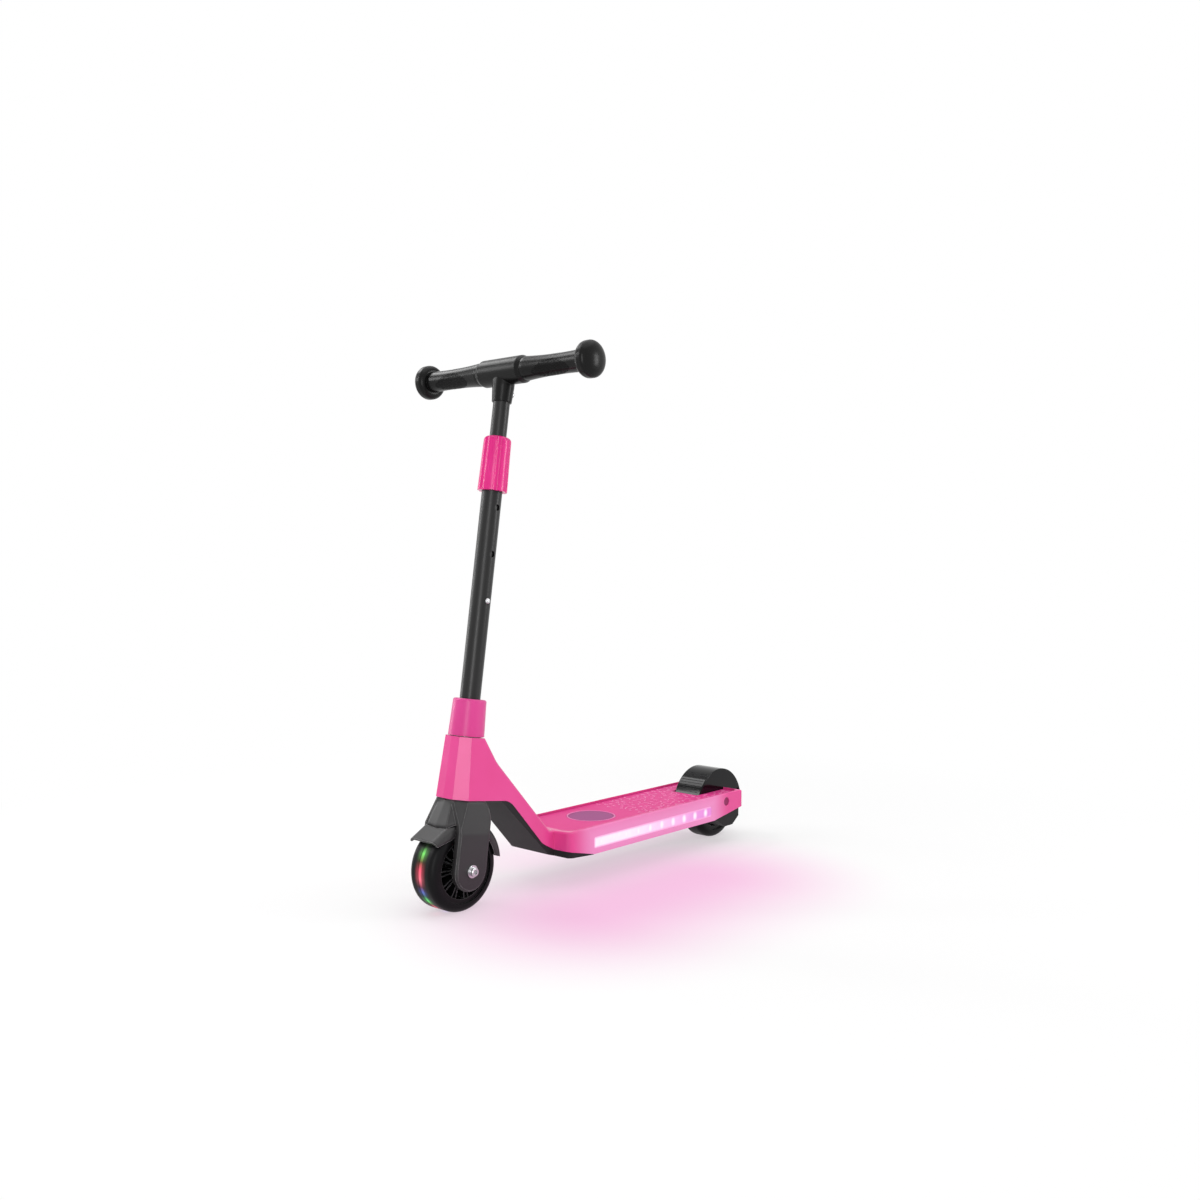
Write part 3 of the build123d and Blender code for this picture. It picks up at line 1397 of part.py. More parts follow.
# Wires: battery to controller, controller to both light boards and, over the battery, to the foot switch
wire_over = plate_top + battery_height + wire_radius + slip
wire_paths = (
    ((battery_rear, wire_row, plug_z), (controller_front, wire_row, plug_z)),
    ((socket_x, controller_width / 2, plug_z), (socket_x, flange_inner - board_thickness, plug_z)),
    ((socket_x, -controller_width / 2, plug_z), (socket_x, board_thickness - flange_inner, plug_z)),
    ((socket_x, 0, board_top + connector_height), (socket_x, 0, wire_over),
     (disc_x - cup_outer, 0, wire_over)),
)
wires = []
for stops in wire_paths:
    with BuildPart() as wire:
        with BuildLine() as path:
            if len(stops) == 2:
                Line(stops[0], stops[1])
            else:
                FilletPolyline(*stops, radius=wire_bend)
        with BuildSketch(Plane(origin=path.line @ 0, z_dir=path.line % 0)):
            Circle(wire_radius)
        sweep(path=path.line)
    wires.append(wire.part)
save(group(wires), "wiring")


# Rear fender brake

with BuildPart() as brake_fender:
    with BuildSketch(rear_side):
        sector((0, 0), fender_outer, fender_inner, fender_front_angle, 180 - fender_rear_angle)
    extrude(amount=fender_half_width, both=True)
    for way in (-1, 1):
        with BuildSketch(rear_side.offset(way * (fender_half_width - fender_side / 2))):
            Circle(fender_inner + fender_thickness / 2)
            with BuildLine():
                Polyline((-fender_outer, fender_edge(rear_x - fender_outer) - rear_radius),
                         (fender_outer, fender_edge(rear_x + fender_outer) - rear_radius),
                         (fender_outer, -fender_outer), (-fender_outer, -fender_outer), close=True)
            make_face(mode=Mode.SUBTRACT)
            with Locations((pivot_ahead, pivot_rise)):
                Circle(fender_boss)
        extrude(amount=fender_side / 2, both=True)
    with BuildSketch(rear_side):
        with Locations((pivot_ahead, pivot_rise)):
            Circle(pivot_diameter / 2 + fit)
    extrude(amount=deck_half, both=True, mode=Mode.SUBTRACT)
    rims = brake_fender.edges().filter_by(GeomType.CIRCLE)
    fillet(rims.filter_by(lambda rim: abs(rim.radius - fender_outer) < fit), fender_round)
    # Foot grooves across the front of the fender
    for count in range(groove_count):
        turn = radians(groove_first + count * groove_step)
        radial = Vector(cos(turn), 0, sin(turn))
        with BuildSketch(Plane(origin=rear_axle + radial * fender_outer, x_dir=(0, 1, 0), z_dir=radial)):
            Rectangle(2 * (fender_half_width - groove_margin), groove_width)
        extrude(amount=-groove_depth, mode=Mode.SUBTRACT)
save(brake_fender.part, "brake_fender")

pivot_screws = []
pivot_plugs = []
fender_buffers = []
for way in (-1, 1):
    with BuildPart() as pivot_screw:
        with BuildSketch(rear_side.offset(-way * arm_seat)):
            with Locations((pivot_ahead, pivot_rise)):
                Circle(pivot_diameter / 2)
        extrude(amount=way * (arm_seat - fender_half_width + fender_side))
        with BuildSketch(rear_side.offset(-way * arm_seat)):
            with Locations((pivot_ahead, pivot_rise)):
                Circle(pivot_head_radius)
        extrude(amount=-way * pivot_head_height)
    pivot_screws.append(pivot_screw.part)
    with BuildPart() as pivot_plug:
        with BuildSketch(rear_side.offset(-way * (deck_half - plug_sink))):
            with Locations((pivot_ahead, pivot_rise)):
                Circle(plug_radius - fit)
        extrude(amount=way * plug_thickness)
    pivot_plugs.append(pivot_plug.part)
    with BuildPart() as fender_buffer:
        with BuildSketch(Plane.XY.offset(buffer_bottom)):
            with Locations((buffer_x, way * (fender_half_width - fender_side / 2))):
                Rectangle(buffer_length - 2, fender_side)
        extrude(amount=buffer_height)
    fender_buffers.append(fender_buffer.part)
save(group(pivot_screws), "pivot_screws")
save(group(pivot_plugs), "pivot_plugs")
save(group(fender_buffers), "fender_buffers")
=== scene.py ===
import math
import random

import bpy
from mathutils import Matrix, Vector
from mathutils.bvhtree import BVHTree


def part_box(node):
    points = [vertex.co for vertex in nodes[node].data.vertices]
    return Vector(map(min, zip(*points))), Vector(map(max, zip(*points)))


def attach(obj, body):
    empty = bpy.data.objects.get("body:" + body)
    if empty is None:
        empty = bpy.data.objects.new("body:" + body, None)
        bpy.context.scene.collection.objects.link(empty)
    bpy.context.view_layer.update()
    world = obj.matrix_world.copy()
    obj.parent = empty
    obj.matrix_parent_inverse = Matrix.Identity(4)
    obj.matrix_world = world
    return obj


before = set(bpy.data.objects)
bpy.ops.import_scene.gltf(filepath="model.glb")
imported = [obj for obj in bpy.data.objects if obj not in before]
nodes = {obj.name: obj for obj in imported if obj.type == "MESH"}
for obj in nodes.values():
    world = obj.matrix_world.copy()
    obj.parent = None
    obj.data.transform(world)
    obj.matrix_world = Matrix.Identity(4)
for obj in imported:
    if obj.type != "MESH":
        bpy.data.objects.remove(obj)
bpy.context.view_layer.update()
scene = bpy.context.scene


def tint(code):
    """Linear colour of a display colour such as E5569D."""
    made = []
    for start in (0, 2, 4):
        part = int(code[start:start + 2], 16) / 255
        made.append(part / 12.92 if part <= 0.04045 else ((part + 0.055) / 1.055) ** 2.4)
    return (*made, 1)


class Look:
    """A node material, with short names for the nodes it needs."""

    def __init__(self, name):
        self.made = bpy.data.materials.new(name)
        self.made.use_nodes = True
        self.tree = self.made.node_tree
        self.surface = self.tree.nodes["Principled BSDF"]
        self.place = self.node("ShaderNodeTexCoord").outputs["Object"]

    def node(self, kind, **settings):
        new = self.tree.nodes.new(kind)
        for name, value in settings.items():
            setattr(new, name, value)
        return new

    def put(self, socket, value):
        if isinstance(value, bpy.types.NodeSocket):
            self.tree.links.new(value, socket)
        elif value is not None:
            socket.default_value = value

    def set(self, **values):
        for name, value in values.items():
            self.put(self.surface.inputs[name.replace("_", " ")], value)

    def math(self, kind, one, two=None):
        new = self.node("ShaderNodeMath", operation=kind)
        self.put(new.inputs[0], one)
        self.put(new.inputs[1], two)
        return new.outputs[0]

    def length(self, one, two):
        """Length of a flat vector with these two parts."""
        squares = self.math("ADD", self.math("MULTIPLY", one, one), self.math("MULTIPLY", two, two))
        return self.math("SQRT", squares)

    def offset(self, value, centre):
        """Distance of a value from a centre, to either side."""
        return self.math("ABSOLUTE", self.math("SUBTRACT", value, centre))

    def span(self, value, low, high, to_low=0.0, to_high=1.0, smooth=True):
        kind = "SMOOTHSTEP" if smooth else "LINEAR"
        new = self.node("ShaderNodeMapRange", interpolation_type=kind)
        for socket, given in zip(new.inputs, (value, low, high, to_low, to_high)):
            self.put(socket, given)
        return new.outputs[0]

    def axes(self, place=None):
        new = self.node("ShaderNodeSeparateXYZ")
        self.put(new.inputs[0], place or self.place)
        return new.outputs

    def moved(self, location=(0, 0, 0), turn=(0, 0, 0), scale=(1, 1, 1)):
        new = self.node("ShaderNodeMapping", vector_type="TEXTURE")
        self.put(new.inputs["Vector"], self.place)
        new.inputs["Location"].default_value = location
        new.inputs["Rotation"].default_value = turn
        new.inputs["Scale"].default_value = scale
        return new.outputs[0]

    def noise(self, scale, detail=2.0, rough=0.5, place=None):
        new = self.node("ShaderNodeTexNoise")
        self.put(new.inputs["Vector"], place or self.place)
        new.inputs["Scale"].default_value = scale
        new.inputs["Detail"].default_value = detail
        new.inputs["Roughness"].default_value = rough
        return new.outputs["Fac"]

    def ramp(self, value, *stops):
        new = self.node("ShaderNodeValToRGB")
        self.put(new.inputs[0], value)
        band = new.color_ramp
        while len(band.elements) < len(stops):
            band.elements.new(0.5)
        for element, (spot, colour) in zip(band.elements, stops):
            element.position = spot
            element.color = colour
        return new.outputs[0]

    def mix(self, share, one, two, blend="MIX"):
        new = self.node("ShaderNodeMix", data_type="RGBA", blend_type=blend)
        self.put(new.inputs["Factor"], share)
        self.put(new.inputs[6], one)
        self.put(new.inputs[7], two)
        return new.outputs[2]

    def bump(self, height, depth, under=None):
        new = self.node("ShaderNodeBump")
        new.inputs["Strength"].default_value = 1.0
        new.inputs["Distance"].default_value = depth
        self.put(new.inputs["Height"], height)
        self.put(new.inputs["Normal"], under)
        return new.outputs[0]

    def rounded(self, radius):
        """Normal of the surface with its sharp edges rounded off."""
        new = self.node("ShaderNodeBevel", samples=6)
        new.inputs["Radius"].default_value = radius
        return new.outputs[0]

    def edges(self, radius):
        """About 1 along sharp edges and 0 on flat faces."""
        plain = self.node("ShaderNodeNewGeometry").outputs["Normal"]
        facing = self.node("ShaderNodeVectorMath", operation="DOT_PRODUCT")
        self.put(facing.inputs[0], self.rounded(radius))
        self.put(facing.inputs[1], plain)
        return self.span(facing.outputs["Value"], 0.985, 0.8)

    def crease_shade(self, reach, dark):
        """Painted shade: 1 on open faces, falling to dark in grooves and corners."""
        new = self.node("ShaderNodeAmbientOcclusion", samples=6)
        new.inputs["Distance"].default_value = reach
        return self.span(new.outputs["AO"], 0.35, 0.95, dark, 1.0)

    def seen(self):
        """1 on rays from the camera, and on those that a mirror or glass passes on."""
        path = self.node("ShaderNodeLightPath").outputs
        direct = self.math("MAXIMUM", path["Is Camera Ray"], path["Is Glossy Ray"])
        return self.math("MAXIMUM", direct, path["Is Transmission Ray"])

    def wear(self, *names):
        for name in names:
            piece = nodes[name]
            piece.data.materials.clear()
            piece.data.materials.append(self.made)


CLOUDS = 9.0            # noise scales of plastic: colour, pale edges (rubbed wear and painted edge highlight) and gloss
EDGE_PATCH_SCALE = 70.0
SMEARS = 6.0
EDGE_WEAR_AND_HIGHLIGHT_WIDTH = 0.0012
SMEAR_DEPTH = 0.025     # change of roughness in smears and scratches
SCRATCH_DEPTH = 0.05
SCRATCH_TURN = (0.3, 0.5, 0.9)
SCRATCH_SCALE = (0.05, 0.0011, 0.02)
CREASE_SHADE_DARK = 0.3


def plastic(name, shades, edge, rough, grain, depth, coat=0.0, coat_rough=0.2, shine=0.3,
            edge_wear_and_highlight=0.35, crease_shade_reach=0.0, soft=0.0006):
    """Moulded plastic: clouded colour, paler edges (rubbed wear and a painted edge highlight), moulded
    grain, scratches, uneven gloss. Optional painted shade in grooves and corners.
    """
    look = Look(name)
    dark, light = tint(shades[0]), tint(shades[1])
    colour = look.ramp(look.noise(CLOUDS, 3.0), (0.35, dark), (0.65, light))
    patchy = look.span(look.noise(EDGE_PATCH_SCALE, 3.0, 0.6), 0.3, 0.7, 0.4, 1.0)
    rub_and_highlight = look.math("MULTIPLY", look.edges(EDGE_WEAR_AND_HIGHLIGHT_WIDTH), patchy)
    colour = look.mix(look.math("MULTIPLY", rub_and_highlight, edge_wear_and_highlight), colour, tint(edge))
    # Painted shade: the colour darkens in grooves and corners, from ambient occlusion.
    if crease_shade_reach:
        colour = look.mix(1.0, colour, look.crease_shade(crease_shade_reach, CREASE_SHADE_DARK), "MULTIPLY")
    smear = look.span(look.noise(SMEARS, 3.0, 0.5), 0.25, 0.75, rough - SMEAR_DEPTH, rough + SMEAR_DEPTH)
    lines = look.noise(1.0, 3.0, 0.6, place=look.moved(turn=SCRATCH_TURN, scale=SCRATCH_SCALE))
    scratch = look.span(lines, 0.66, 0.8, 0.0, SCRATCH_DEPTH)
    look.set(Base_Color=colour, Roughness=look.math("ADD", smear, scratch))
    look.set(Coat_Weight=coat, Coat_Roughness=coat_rough, Specular_IOR_Level=shine)
    look.set(Normal=look.bump(look.noise(grain, 2.0, 0.55), depth, under=look.rounded(soft)))
    return look


def metal(name, colour, rough, along, uneven=1.0):
    """Plated or brushed metal, with fine lines along one way and small dents."""
    look = Look(name)
    lines = look.noise(1.0, 4.0, 0.7, place=look.moved(scale=along))
    dark, light = tint(colour[0]), tint(colour[1])
    look.set(Base_Color=look.ramp(look.noise(60.0, 3.0), (0.3, dark), (0.7, light)), Metallic=1.0)
    look.set(Roughness=look.span(lines, 0.3, 0.7, rough - 0.07 * uneven, rough + 0.1 * uneven))
    look.set(Normal=look.bump(lines, 0.00002 * uneven, under=look.rounded(0.0004)))
    return look


# Camera of the photograph

EYE = (1.3146, 1.1894, 0.4715)
YAW, PITCH = 3.8734, -0.0382
eye = bpy.data.cameras.new("camera")
eye.sensor_width = 36.0
eye.lens = 35.573
eye.clip_start, eye.clip_end = 0.05, 60.0
camera = bpy.data.objects.new("camera", eye)
scene.collection.objects.link(camera)
camera.location = EYE
level = math.cos(PITCH)
ahead = Vector((math.cos(YAW) * level, math.sin(YAW) * level, math.sin(PITCH)))
camera.rotation_mode = "QUATERNION"
camera.rotation_quaternion = ahead.to_track_quat("-Z", "Y")
scene.camera = camera


# Mouldings, tubes and metal parts

shell_look = plastic("pink_shell", ("E2458F", "E64C97"), "F08CC1", 0.24, 2400.0, 0.00001,
                     coat=0.12, coat_rough=0.1, shine=0.25)
shell_look.wear("body_shell")
plastic("pink_collar", ("E01F80", "E52B88"), "EE6BB0", 0.22, 2400.0, 0.00001,
        coat=0.12, coat_rough=0.08, shine=0.25, edge_wear_and_highlight=0.1, crease_shade_reach=0.006).wear("twist_collar")
plastic("pink_sleeve", ("D6408C", "DB4792"), "EC86BD", 0.34, 2400.0, 0.00002, shine=0.3).wear(
    "head_collar", "head_tube")
# Painted shade: the plugs are a darker pink than the shell, for the shade of the recesses they sit in.
plastic("pink_plug", ("8C2C5C", "963262"), "C05A8E", 0.45, 2000.0, 0.00004, shine=0.15).wear(
    "pivot_plugs")
plastic("black_plastic", ("242324", "2A292A"), "4C4A4B", 0.5, 1500.0, 0.00005, shine=0.1).wear(
    "chassis", "battery_door", "stem_bush", "stem_end_bush", "contact_switch")
# Painted highlight: the fork's pale edge colour stands for the highlight along its edges.
plastic("fork_plastic", ("262526", "2C2B2C"), "C8C6C7", 0.34, 1700.0, 0.00002,
        shine=0.36, edge_wear_and_highlight=0.9, soft=0.005).wear("fork", "front_mudguard")
plastic("gloss_black", ("060607", "0A0A0C"), "3A3A3F", 0.12, 900.0, 0.000006, shine=0.17).wear(
    "brake_fender")
plastic("black_coat", ("0B0B0B", "100F10"), "3C3B3C", 0.36, 2100.0, 0.000012, shine=0.38).wear(
    "lower_stem", "upper_stem")
plastic("tee_plastic", ("0B0B0B", "0F0F0F"), "343334", 0.3, 1900.0, 0.00001,
        shine=0.17, soft=0.002).wear("cross_bar", "tee")
plastic("wheel_core", ("0A0A0B", "101011"), "8A8A8C", 0.3, 1500.0, 0.00004,
        shine=0.14, edge_wear_and_highlight=0.7).wear("front_rim", "rear_rim")
plastic("white_plastic", ("D9D7DA", "E0DEE1"), "F0EEF1", 0.4, 1500.0, 0.00004).wear(
    "switch_cup", "left_led_board", "right_led_board", "front_led_ring")
plastic("battery_wrap", ("214E9A", "2A5BAB"), "5B85C8", 0.25, 700.0, 0.00004).wear("battery_pack")
plastic("circuit_board", ("1D6B36", "247A3F"), "4FA167", 0.4, 900.0, 0.00005).wear("control_board")
plastic("wire_cover", ("8F1F22", "A3272A"), "C4494B", 0.4, 900.0, 0.00005).wear("wiring")
plastic("soft_rubber", ("3F3F40", "474748"), "6A6A6B", 0.65, 900.0, 0.0001).wear(
    "fender_buffers", "switch_dome")
plastic("grip", ("080808", "0C0C0C"), "242425", 0.27, 1500.0, 0.000006, shine=0.17).wear(
    "left_grip", "right_grip")
knurl_look = plastic("grip_knurl", ("040404", "060607"), "161617", 0.5, 1500.0, 0.000006, shine=0.06)
plastic("pink_mat", ("DC3C8A", "E04490"), "EE8AC0", 0.42, 1500.0, 0.00003,
        shine=0.05, crease_shade_reach=0.003).wear("deck_mat")
# Painted highlight: the raised squiggles are a paler pink than the mat they stand on.
squiggle_look = plastic("pink_squiggle", ("EA6CAC", "EE78B4"), "F4A4CE", 0.3, 1500.0, 0.00001)
plastic("mauve_disc", ("96407C", "9D4883"), "B86C9C", 0.4, 1800.0, 0.00003, shine=0.05).wear(
    "foot_switch")
plastic("pale_ring", ("DE68AA", "E270B0"), "F0A4CE", 0.3, 1800.0, 0.00003, shine=0.2).wear(
    "switch_ring")
metal("plated_steel", ("A9A9AB", "BABABC"), 0.32, (0.02, 0.0006, 0.02)).wear(
    "steerer", "lower_head_bearing", "upper_head_bearing", "head_spacer", "front_bearings",
    "rear_bearings", "front_axle_tube", "rear_axle_tube", "front_axle_spacers",
    "rear_axle_spacers", "rear_axle_bolt", "rear_axle_nut", "stem_cross_pin", "chassis_screws",
    "mudguard_screws", "pivot_screws", "snap_spring", "tee_screw")
metal("bright_steel", ("B8B8BA", "C6C6C8"), 0.24, (0.02, 0.0008, 0.02), 0.3).wear(
    "front_axle_bolt", "front_axle_nut", "front_axle_washers", "snap_button")


# Tyres, and the lit band in the front tread: soft patches of colour, by the angle about the axle. The
# band's light on the tyre's rubber is painted in as emission.

DARK = "0A0A0B"
PATCHES = (
    (-96, DARK), (-80, "7A58E8"), (-70, "3A2440"), (-58, "FF5A78"), (-49, "5A4A34"),
    (-40, "5CD86A"), (-32, "2E5A58"), (-25, "5668B8"), (-17, "6A3448"), (-6, "FF7488"),
    (6, "FF5A74"), (17, "66502E"), (28, "78E468"), (37, "1E3018"), (44, DARK), (100, DARK),
    (116, "F2546C"), (134, "4A2A40"), (150, "5CD86A"), (164, "2E4A50"), (176, DARK),
)
band_low, band_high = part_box("front_light_band")
wheel_centre = (Vector(band_low) + Vector(band_high)) / 2


def rubber(name):
    """Cast black tyre."""
    return plastic(name, ("08080A", "0C0C0E"), "262627", 0.4, 1300.0, 0.00003, shine=0.12)


def lit_rubber(name, reach, fade, strength):
    """Tyre lit by its band, within reach of the middle of the tread, the band's light painted on the
    rubber as emission.
    """
    look = rubber(name)
    aside, across, above = look.axes(look.moved(location=wheel_centre))
    turn = look.math("ARCTAN2", above, aside)
    share = look.span(turn, -math.pi, math.pi, smooth=False)
    stops = [((angle + 180) / 360, tint(code)) for angle, code in PATCHES]
    colour = look.ramp(share, *stops)
    centre = look.span(look.math("ABSOLUTE", across), reach, reach + fade, strength, 0.0)
    look.set(Emission_Color=colour, Emission_Strength=centre)
    return look


rubber("rear_tyre").wear("rear_tyre")
# Painted glow: the band's light on the tyre's rubber; the band itself is the lamp.
lit_rubber("front_tyre", 0.001, 0.011, 0.45).wear("front_tyre")
lit_rubber("light_band", 0.0012, 0.0032, 1.15).wear("front_light_band")


# Lit strips on the deck's sides: white ahead, single lights behind, and their light on the shell painted
# in as a glowing halo

LIGHTS = 10
STRIP_SKIN = 0.0018         # from the strip's end to the first light's cell
STRIP_FLANGE = 0.002        # flange of the lens, behind the shell
STRIP_FADE = 0.004          # soft pink border of the strip
SPOT_WIDTH = 0.0058         # half sizes of one light
SPOT_HEIGHT = 0.0088
HALO = 0.05
HALO_INSIDE = 0.004
HALO_STRENGTH = 0.27
DECK_SIDE = (0.058, 0.06)   # the halo starts between these distances from the middle of the deck


class Strip:
    """Sizes of a strip: its seen front end, length, middle height and half height."""

    def __init__(self, node):
        low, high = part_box(node)
        self.front = high[0] - STRIP_FLANGE
        self.length = self.front - low[0] - STRIP_FLANGE
        self.middle = (low[2] + high[2]) / 2
        self.half = (high[2] - low[2]) / 2 - STRIP_FLANGE


def strip_look(name):
    strip = Strip(name)
    pitch = (strip.length - 2 * STRIP_SKIN) / LIGHTS
    look = Look(name)
    place = look.axes()
    behind = look.math("SUBTRACT", strip.front - STRIP_SKIN, place["X"])
    cell = look.math("FRACT", look.math("DIVIDE", behind, pitch))
    aside = look.math("DIVIDE", look.math("SUBTRACT", cell, 0.5), SPOT_WIDTH / pitch)
    above = look.math("DIVIDE", look.math("SUBTRACT", place["Z"], strip.middle), SPOT_HEIGHT)
    spot = look.span(look.length(aside, above), 1.15, 0.1)
    full = look.span(behind, strip.length * 0.2, strip.length * 0.65, 0.85, 0.0)
    tail = look.span(behind, strip.length * 0.5, strip.length)
    between = look.mix(tail, tint("F8C4EC"), tint("DC74D2"))
    colour = look.mix(look.math("MAXIMUM", spot, full), between, tint("FFF8FE"))
    inside = look.math("SUBTRACT", strip.half, look.offset(place["Z"], strip.middle))
    inside = look.math("MINIMUM", inside, look.math("ADD", behind, STRIP_SKIN))
    colour = look.mix(look.span(inside, 0.0, STRIP_FADE), tint("F09ACF"), colour)
    haze = look.noise(140.0, 2.0)
    look.set(Base_Color=tint("7D5A72"), Roughness=look.span(haze, 0.3, 0.7, 0.12, 0.24))
    look.set(Emission_Color=colour, Emission_Strength=look.span(haze, 0.2, 0.8, 0.84, 0.9))
    look.set(Normal=look.bump(look.noise(700.0), 0.00003, under=look.rounded(0.0005)))
    return look


for side in ("left_lens", "right_lens"):
    strip_look(side).wear(side)

# Painted glow: the strips' light on the shell around them is painted into the shell as emission.
strip = Strip("right_lens")
place = shell_look.axes()
ends = shell_look.math("SUBTRACT", shell_look.offset(place["X"], strip.front - strip.length / 2),
                       strip.length / 2)
edges = shell_look.math("SUBTRACT", shell_look.offset(place["Z"], strip.middle), strip.half)
painted_halo = shell_look.span(shell_look.math("MAXIMUM", ends, edges), HALO, -HALO_INSIDE, 0.0, HALO_STRENGTH)
outer = shell_look.span(shell_look.math("ABSOLUTE", place["Y"]), *DECK_SIDE)
shell_look.set(Emission_Color=tint("A0E0FF"), Emission_Strength=shell_look.math("MULTIPLY", painted_halo, outer))


def relief(name, verts, faces, look, body, smooth):
    """One piece from plain lists, with its material, riding on a body."""
    mesh = bpy.data.meshes.new(name)
    mesh.from_pydata(verts, [], faces)
    mesh.polygons.foreach_set("use_smooth", [smooth] * len(mesh.polygons))
    mesh.update()
    piece = bpy.data.objects.new(name, mesh)
    scene.collection.objects.link(piece)
    mesh.materials.append(look.made)
    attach(piece, body)


# Raised squiggles moulded on the tray's mat, behind the foot switch

SQUIGGLE_TRIES = 9000
SQUIGGLE_FRONT = -0.058     # foremost x
SQUIGGLE_MARGIN = 0.003     # from the mat's edges
SQUIGGLE_GAP = 0.0046       # between two squiggles
SQUIGGLE_LENGTH = (0.010, 0.018)
SQUIGGLE_CURL = 2.4
SQUIGGLE_SWAY = (0.6, 1.5)
SQUIGGLE_RINGS = 11
SQUIGGLE_SIDES = 6
SQUIGGLE_HALF = 0.00115     # half width and height of its half-round section
SQUIGGLE_RISE = 0.00085
SQUIGGLE_SINK = 0.0002
RAY_START = 0.01
TOP_PLAY = 0.0003
mat_low, mat_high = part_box("deck_mat")
mat_skin = BVHTree.FromObject(nodes["deck_mat"], bpy.context.evaluated_depsgraph_get())
draw = random.Random(11)
kept = []
grid = {}


def grid_key(point):
    return (int(point[0] // SQUIGGLE_GAP), int(point[1] // SQUIGGLE_GAP))


def crowded(path):
    """Whether a squiggle would come too close to one that is already there."""
    for point in path:
        key = grid_key(point)
        for i in (-1, 0, 1):
            for j in (-1, 0, 1):
                for other in grid.get((key[0] + i, key[1] + j), ()):
                    square = (point[0] - other[0]) ** 2 + (point[1] - other[1]) ** 2
                    if square < SQUIGGLE_GAP ** 2:
                        return True
    return False


def on_mat(point):
    """Whether the mat's top is under a point, and all round it too."""
    for dx, dy in ((-1, 0), (1, 0), (0, -1), (0, 1)):
        x, y = point[0] + dx * SQUIGGLE_MARGIN, point[1] + dy * SQUIGGLE_MARGIN
        start = Vector((x, y, mat_high[2] + RAY_START))
        spot = mat_skin.ray_cast(start, Vector((0, 0, -1)))[0]
        if spot is None or spot.z < mat_high[2] - TOP_PLAY:
            return False
    return True


for attempt in range(SQUIGGLE_TRIES):
    x = draw.uniform(mat_low[0], SQUIGGLE_FRONT)
    y = draw.uniform(mat_low[1], mat_high[1])
    heading = draw.uniform(0, 2 * math.pi)
    length = draw.uniform(*SQUIGGLE_LENGTH)
    curl = draw.uniform(-1.0, 1.0) * SQUIGGLE_CURL
    sway = draw.choice((-1, 1)) * draw.uniform(*SQUIGGLE_SWAY)
    path = []
    for step in range(SQUIGGLE_RINGS):
        t = step / (SQUIGGLE_RINGS - 1)
        path.append((x, y))
        angle = heading + curl * (t - 0.5) + sway * math.sin(2 * math.pi * t)
        x += math.cos(angle) * length / (SQUIGGLE_RINGS - 1)
        y += math.sin(angle) * length / (SQUIGGLE_RINGS - 1)
    if path[-1][0] > SQUIGGLE_FRONT or crowded(path) or not all(on_mat(point) for point in path):
        continue
    kept.append(path)
    for point in path:
        grid.setdefault(grid_key(point), []).append(point)

verts, faces = [], []
ring = SQUIGGLE_SIDES + 1
for path in kept:
    start = len(verts)
    for count, (x, y) in enumerate(path):
        before, after = path[max(count - 1, 0)], path[min(count + 1, SQUIGGLE_RINGS - 1)]
        run = math.hypot(after[0] - before[0], after[1] - before[1])
        across = (-(after[1] - before[1]) / run, (after[0] - before[0]) / run)
        t = 2 * count / (SQUIGGLE_RINGS - 1) - 1
        swell = math.sqrt(max(1 - t ** 6, 0.04))
        for turn in range(ring):
            angle = math.pi * turn / SQUIGGLE_SIDES
            out = SQUIGGLE_HALF * swell * math.cos(angle)
            rise = SQUIGGLE_RISE * swell * math.sin(angle) - SQUIGGLE_SINK
            verts.append((x + across[0] * out, y + across[1] * out, mat_high[2] + rise))
    for count in range(SQUIGGLE_RINGS - 1):
        first, second = start + count * ring, start + (count + 1) * ring
        for turn in range(SQUIGGLE_SIDES):
            faces.append((first + turn, first + turn + 1, second + turn + 1, second + turn))
        faces.append((first, second, second + SQUIGGLE_SIDES, first + SQUIGGLE_SIDES))
    faces.append(tuple(range(start + SQUIGGLE_SIDES, start - 1, -1)))
    last = start + (SQUIGGLE_RINGS - 1) * ring
    faces.append(tuple(range(last, last + ring)))
relief("mat_squiggles", verts, faces, squiggle_look, "frame", True)


# Knurled panels on the grips: two lens shapes on each, with a smooth band between them

KNURL_PITCH = 0.0026
KNURL_RISE = 0.0006
KNURL_SINK = 0.0002
GRIP_RADIUS = 0.0142
PANEL_MIDDLE = 0.0434 + 0.0545      # tee's end and half of the grip's sleeve
PANEL_HALF = 0.037
PANEL_SPREAD = math.radians(66)
PANEL_ANGLES = (math.radians(-35), math.radians(145))
RAY_OUT = 0.04
rows = int(2 * PANEL_HALF / KNURL_PITCH)
columns = int(2 * PANEL_SPREAD * GRIP_RADIUS / KNURL_PITCH)
step = KNURL_PITCH / 2


def skin(surface, axis, y, angle, lift):
    """Point of a grip's surface at y and an angle about the bar, raised by lift."""
    ray = Vector((math.cos(angle), 0, math.sin(angle)))
    spot = surface.ray_cast(Vector((axis[0], y, axis[1])) + ray * RAY_OUT, -ray)[0]
    return tuple(spot + ray * lift)


